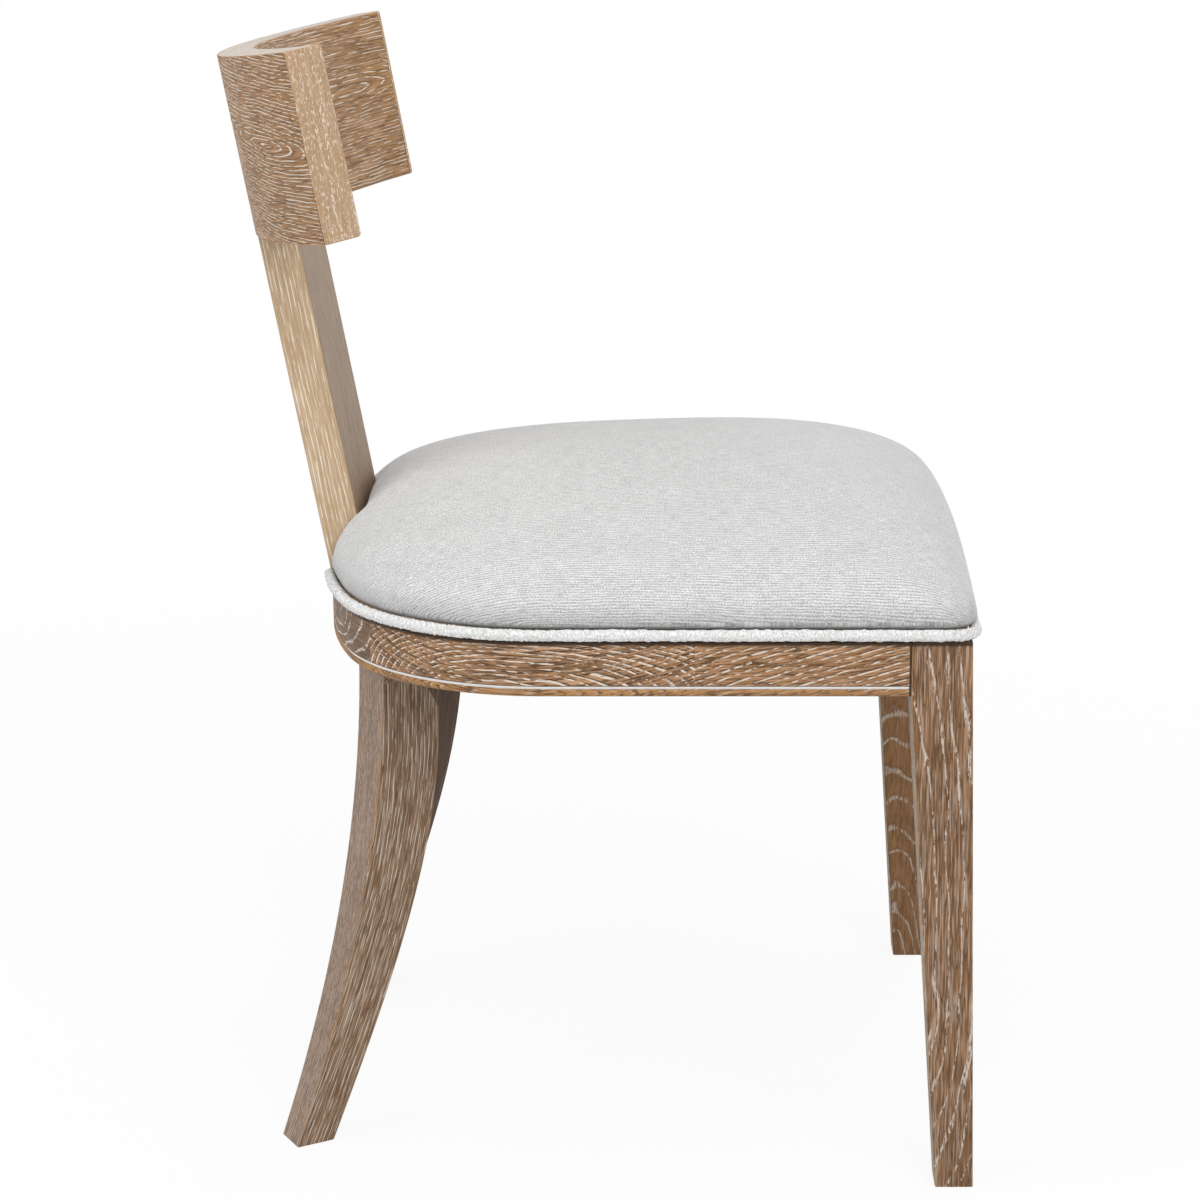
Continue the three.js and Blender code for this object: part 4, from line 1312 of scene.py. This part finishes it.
FOAM_DARK = (0.62, 0.54, 0.30, 1)
FOAM_CELL_SCALE = (900.0, 900.0, 900.0)


def linen():
    """Plain linen woven in uneven rows that run from front to back, with painted shade down in the seam
    over the piping and towards the foot of the side.
    """
    material, shader = new_material("linen")
    weave = attribute(shader, "weave")
    sway, slubs, dots, cloud = (noise(weave, *given) for given in LINEN_NOISE.values())
    across = split(weave)["X"]
    rows = sums("SINE", plus(across, math.tau / ROW_PITCH, times(sway, ROW_SWAY)))
    relief = plus(rows, ROW_RELIEF, plus(slubs, SLUB_RELIEF, dots))
    tone = ramp(plus(cloud, CLOUD_TINT, relief), *LINEN_TONE)
    height = split(own_place(shader))["Z"]
    # Painted shade: the cloth darkens towards the foot of the side.
    shade = ramp(height, base_z, base_z + LOW_BAND, LOW_SHADE, 1.0)
    cloth = scaled(mix(tone, LINEN_DARK, LINEN_LIGHT), shade)
    # Painted shade down in the crevice over the piping, broken into dots.
    seam_shade = ramp(height, welt_top - COVER_FLARE, base_z, 1.0, 0.0)
    seam_shade = times(seam_shade, ramp(dots, *SEAM_DOT_FADE, 1.0, SEAM_DOT_LEFT))
    feed(shader, {
        "Base Color": mix(seam_shade, cloth, SEAM_SHADE),
        "Roughness": 0.92,
        "Sheen Weight": 0.25,
        "Sheen Roughness": 0.5,
        "Specular IOR Level": 0.2,
    })
    add_relief(shader, relief, WEAVE_RELIEF, 0.5)
    return material


def seat_foam():
    """Open-celled foam."""
    material, shader = new_material("seat foam")
    cells = noise(own_place(shader), FOAM_CELL_SCALE)
    feed(shader, {"Base Color": mix(cells, FOAM_DARK, FOAM_LIGHT), "Roughness": 0.95})
    return material


hem_z = rail_top + HEM_BOTTOM
cushion = pad_piece("linen_cushion", SWELL_START, hem_z, VOXEL, 2 * GLUE_LINE)
swell(cushion)
lay_weave(cushion, skin_levels(pad_levels(SWELL_START, hem_z)))
cushion.data.materials.append(linen())
fuller = cushion.modifiers.new("finer", "SUBSURF")
fuller.levels = 1
fuller.render_levels = 1
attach(cushion, "root")
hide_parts("seat_cover")

FOAM_SHRINK = 0.0055
FOAM_VOXEL = 0.009
foam_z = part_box("seat_foam")[0].z + GLUE_LINE
foam_block = pad_piece("foam_block", FOAM_SHRINK, foam_z, FOAM_VOXEL, FOAM_SHRINK)
foam_block.data.materials.append(seat_foam())
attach(foam_block, "root")
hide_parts("seat_foam")

# Piping
# A cord in pale bias-cut cloth, sewn in round the foot of the pad from one
# side of the splat to the other.
WELT_RADIUS = 0.004
WELT_OFFSET = 0.002
WELT_SIDES = 20
WELT_CUTS = 8
WELT_PILE = 0.0012
WELT_PILE_STEP = 0.0013
WELT_WAVE = 0.021
WELT_WAVE_SHARE = 0.25
PILE_LIGHT = (0.93, 0.93, 0.92, 1)
PILE_DARK = (0.46, 0.46, 0.455, 1)
PILE_SCALE = (1700.0, 1700.0, 1700.0)
RIB_SCALE = (700.0, 260.0, 1.0)
PILE_RELIEF = 0.0008
RIB_RELIEF = 0.6
PILE_TONE = (0.55, 1.0)
welt_z = welt_top - WELT_RADIUS


def piping_route():
    """The piping's middle line, round the pad from one side of the splat to the other."""
    splat_side = SPLAT_HALF_WIDTH + GLUE_LINE
    ring = pad_ring(WELT_OFFSET, PAD_CORNER_RADIUS, 0, 0)
    route = [Vector((x, y, welt_z)) for x, y in ring if abs(x) >= splat_side or y <= corner_y]
    first = next(i for i in range(len(route)) if (route[i] - route[i - 1]).length > SPLAT_HALF_WIDTH)
    route = route[first:] + route[:first]
    for end, inner in ((0, 1), (-1, -2)):
        side = math.copysign(splat_side, route[end].x)
        share = (side - route[inner].x) / (route[end].x - route[inner].x)
        route[end] = route[inner].lerp(route[end], share)
    return route


def raise_pile(bm):
    """Push the surface in and out, finely for the pile and in long waves for the sewing."""
    turn_outward(bm)
    pile = []
    for vert in bm.verts:
        wave = fuzz.noise(vert.co / WELT_WAVE) * WELT_WAVE_SHARE
        pile.append((vert, fuzz.noise(vert.co / WELT_PILE_STEP) + wave))
    for vert, height in pile:
        vert.co += vert.normal * height * WELT_PILE


def shape_piping():
    route = piping_route()
    bm = new_mesh()
    layer = bm.verts.layers.float_vector["grain"]
    run = 0.0
    verts = bmesh.ops.create_circle(bm, radius=WELT_RADIUS, segments=WELT_SIDES)["verts"]
    edges = bm.edges[:]
    flat = [vert.co.copy() for vert in verts]
    for i in range(len(route)):
        if i:
            verts, edges = next_loop(bm, verts, edges)
            run += (route[i] - route[i - 1]).length
        ahead = (route[min(i + 1, len(route) - 1)] - route[max(i - 1, 0)]).normalized()
        out = Vector((ahead.y, -ahead.x, 0))
        for vert, place in zip(verts, flat):
            vert.co = route[i] + out * place.x + Vector((0, 0, place.y))
            vert[layer] = (run, math.atan2(place.y, place.x) * WELT_RADIUS, 0)
    cap_ends(bm)
    long_edges = [edge for edge in bm.edges if edge.calc_length() > WELT_PILE_STEP * 2]
    bmesh.ops.subdivide_edges(bm, edges=long_edges, cuts=WELT_CUTS, use_grid_fill=True)
    raise_pile(bm)
    return bm


def piping_cloth():
    """Pale soft cloth, a little fuzzy."""
    material, shader = new_material("piping cloth")
    ribs = noise(attribute(shader, "grain"), RIB_SCALE)
    pile = noise(own_place(shader), PILE_SCALE)
    relief = plus(ribs, RIB_RELIEF, pile)
    feed(shader, {
        "Base Color": mix(ramp(relief, *PILE_TONE), PILE_DARK, PILE_LIGHT),
        "Roughness": 0.95,
        "Sheen Weight": 0.4,
        "Specular IOR Level": 0.15,
    })
    add_relief(shader, relief, PILE_RELIEF, 0.8)
    return material


finished_piece("seat_piping", shape_piping(), [piping_cloth()])

# Floor and light
# A plain pale floor under soft lamps, with the far floor and the surroundings
# white to the camera.
FLOOR_HALF = 12.0
FLOOR_NEAR = 0.7
FLOOR_FAR = 2.2
FLOOR_GLOW = 0.9
FLOOR_GREY = (0.86, 0.86, 0.86, 1)
WHITE = (1, 1, 1, 1)
WORLD_STRENGTH = 0.42
LAMPS = {
    "key lamp": {"place": (-2.4, -0.9, 2.4), "size": 2.2, "power": 58},
    "back lamp": {"place": (-1.2, 2.4, 1.9), "size": 1.8, "power": 34},
    "far lamp": {"place": (2.2, -1.6, 1.6), "size": 1.8, "power": 18},
    "top lamp": {"place": (0.0, 0.1, 2.7), "size": 1.6, "power": 14},
}


def seen_rays(near):
    """One for rays that should meet a white surrounding: from the camera, gloss or glass."""
    path = node(near, "ShaderNodeLightPath").outputs
    first = sums("MAXIMUM", path["Is Camera Ray"], path["Is Glossy Ray"])
    return sums("MAXIMUM", first, path["Is Transmission Ray"])


def make_floor():
    bm = bmesh.new()
    bmesh.ops.create_grid(bm, x_segments=1, y_segments=1, size=FLOOR_HALF)
    floor = add_object("floor", bm)
    material, shader = new_material("pale floor")
    feed(shader, {"Base Color": FLOOR_GREY, "Roughness": 0.9})
    glow = node(shader, "ShaderNodeEmission", {"Color": WHITE, "Strength": 1.0})
    whiter = ramp(length(own_place(shader)), FLOOR_NEAR, FLOOR_FAR, FLOOR_GLOW, 1.0)
    share = times(whiter, seen_rays(shader))
    mixed = node(shader, "ShaderNodeMixShader", {0: share, 1: shader.outputs[0], 2: glow.outputs[0]})
    output = next(other for other in material.node_tree.nodes if other.type == "OUTPUT_MATERIAL")
    feed(output, {"Surface": mixed.outputs[0]})
    floor.data.materials.append(material)


def make_world():
    world = bpy.data.worlds.new("surroundings")
    bpy.context.scene.world = world
    world.use_nodes = True
    tree = world.node_tree
    tree.nodes.clear()
    soft = node(tree, "ShaderNodeBackground", {"Color": WHITE, "Strength": WORLD_STRENGTH})
    seen = node(tree, "ShaderNodeBackground", {"Color": WHITE, "Strength": 1.0})
    mixed = node(tree, "ShaderNodeMixShader", {0: seen_rays(tree), 1: soft.outputs[0], 2: seen.outputs[0]})
    node(tree, "ShaderNodeOutputWorld", {"Surface": mixed.outputs[0]})


def add_lamp(name, place, size, power):
    """A square soft lamp that faces the seat."""
    lamp = bpy.data.lights.new(name, "AREA")
    lamp.shape = "SQUARE"
    lamp.size = size
    lamp.energy = power
    holder = bpy.data.objects.new(name, lamp)
    holder.location = place
    holder.rotation_euler = (Vector((0, 0, rail_top)) - Vector(place)).to_track_quat("-Z", "Y").to_euler()
    bpy.context.scene.collection.objects.link(holder)


make_floor()
make_world()
for lamp_name, settings in LAMPS.items():
    add_lamp(lamp_name, **settings)
bpy.context.scene.view_settings.view_transform = "Standard"

# Camera
# A long lens on the chair's right, a little over the seat, at the angle of the
# photograph.
CAMERA_BACK = 2.3358
CAMERA_HEIGHT = 0.9801
CAMERA_FROM_FRONT = 0.2017
CAMERA_PITCH = 0.2484
SENSOR_WIDTH = 36.0
LENS = 90.76
LENS_SHIFT = -0.075
camera = bpy.data.objects.new("camera", bpy.data.cameras.new("camera"))
camera.data.sensor_width = SENSOR_WIDTH
camera.data.lens = LENS
camera.data.shift_x = LENS_SHIFT
camera.location = (-CAMERA_BACK, front_y + CAMERA_FROM_FRONT, CAMERA_HEIGHT)
camera.rotation_euler = (math.pi / 2 - CAMERA_PITCH, 0, -math.pi / 2)
bpy.context.scene.collection.objects.link(camera)
bpy.context.scene.camera = camera
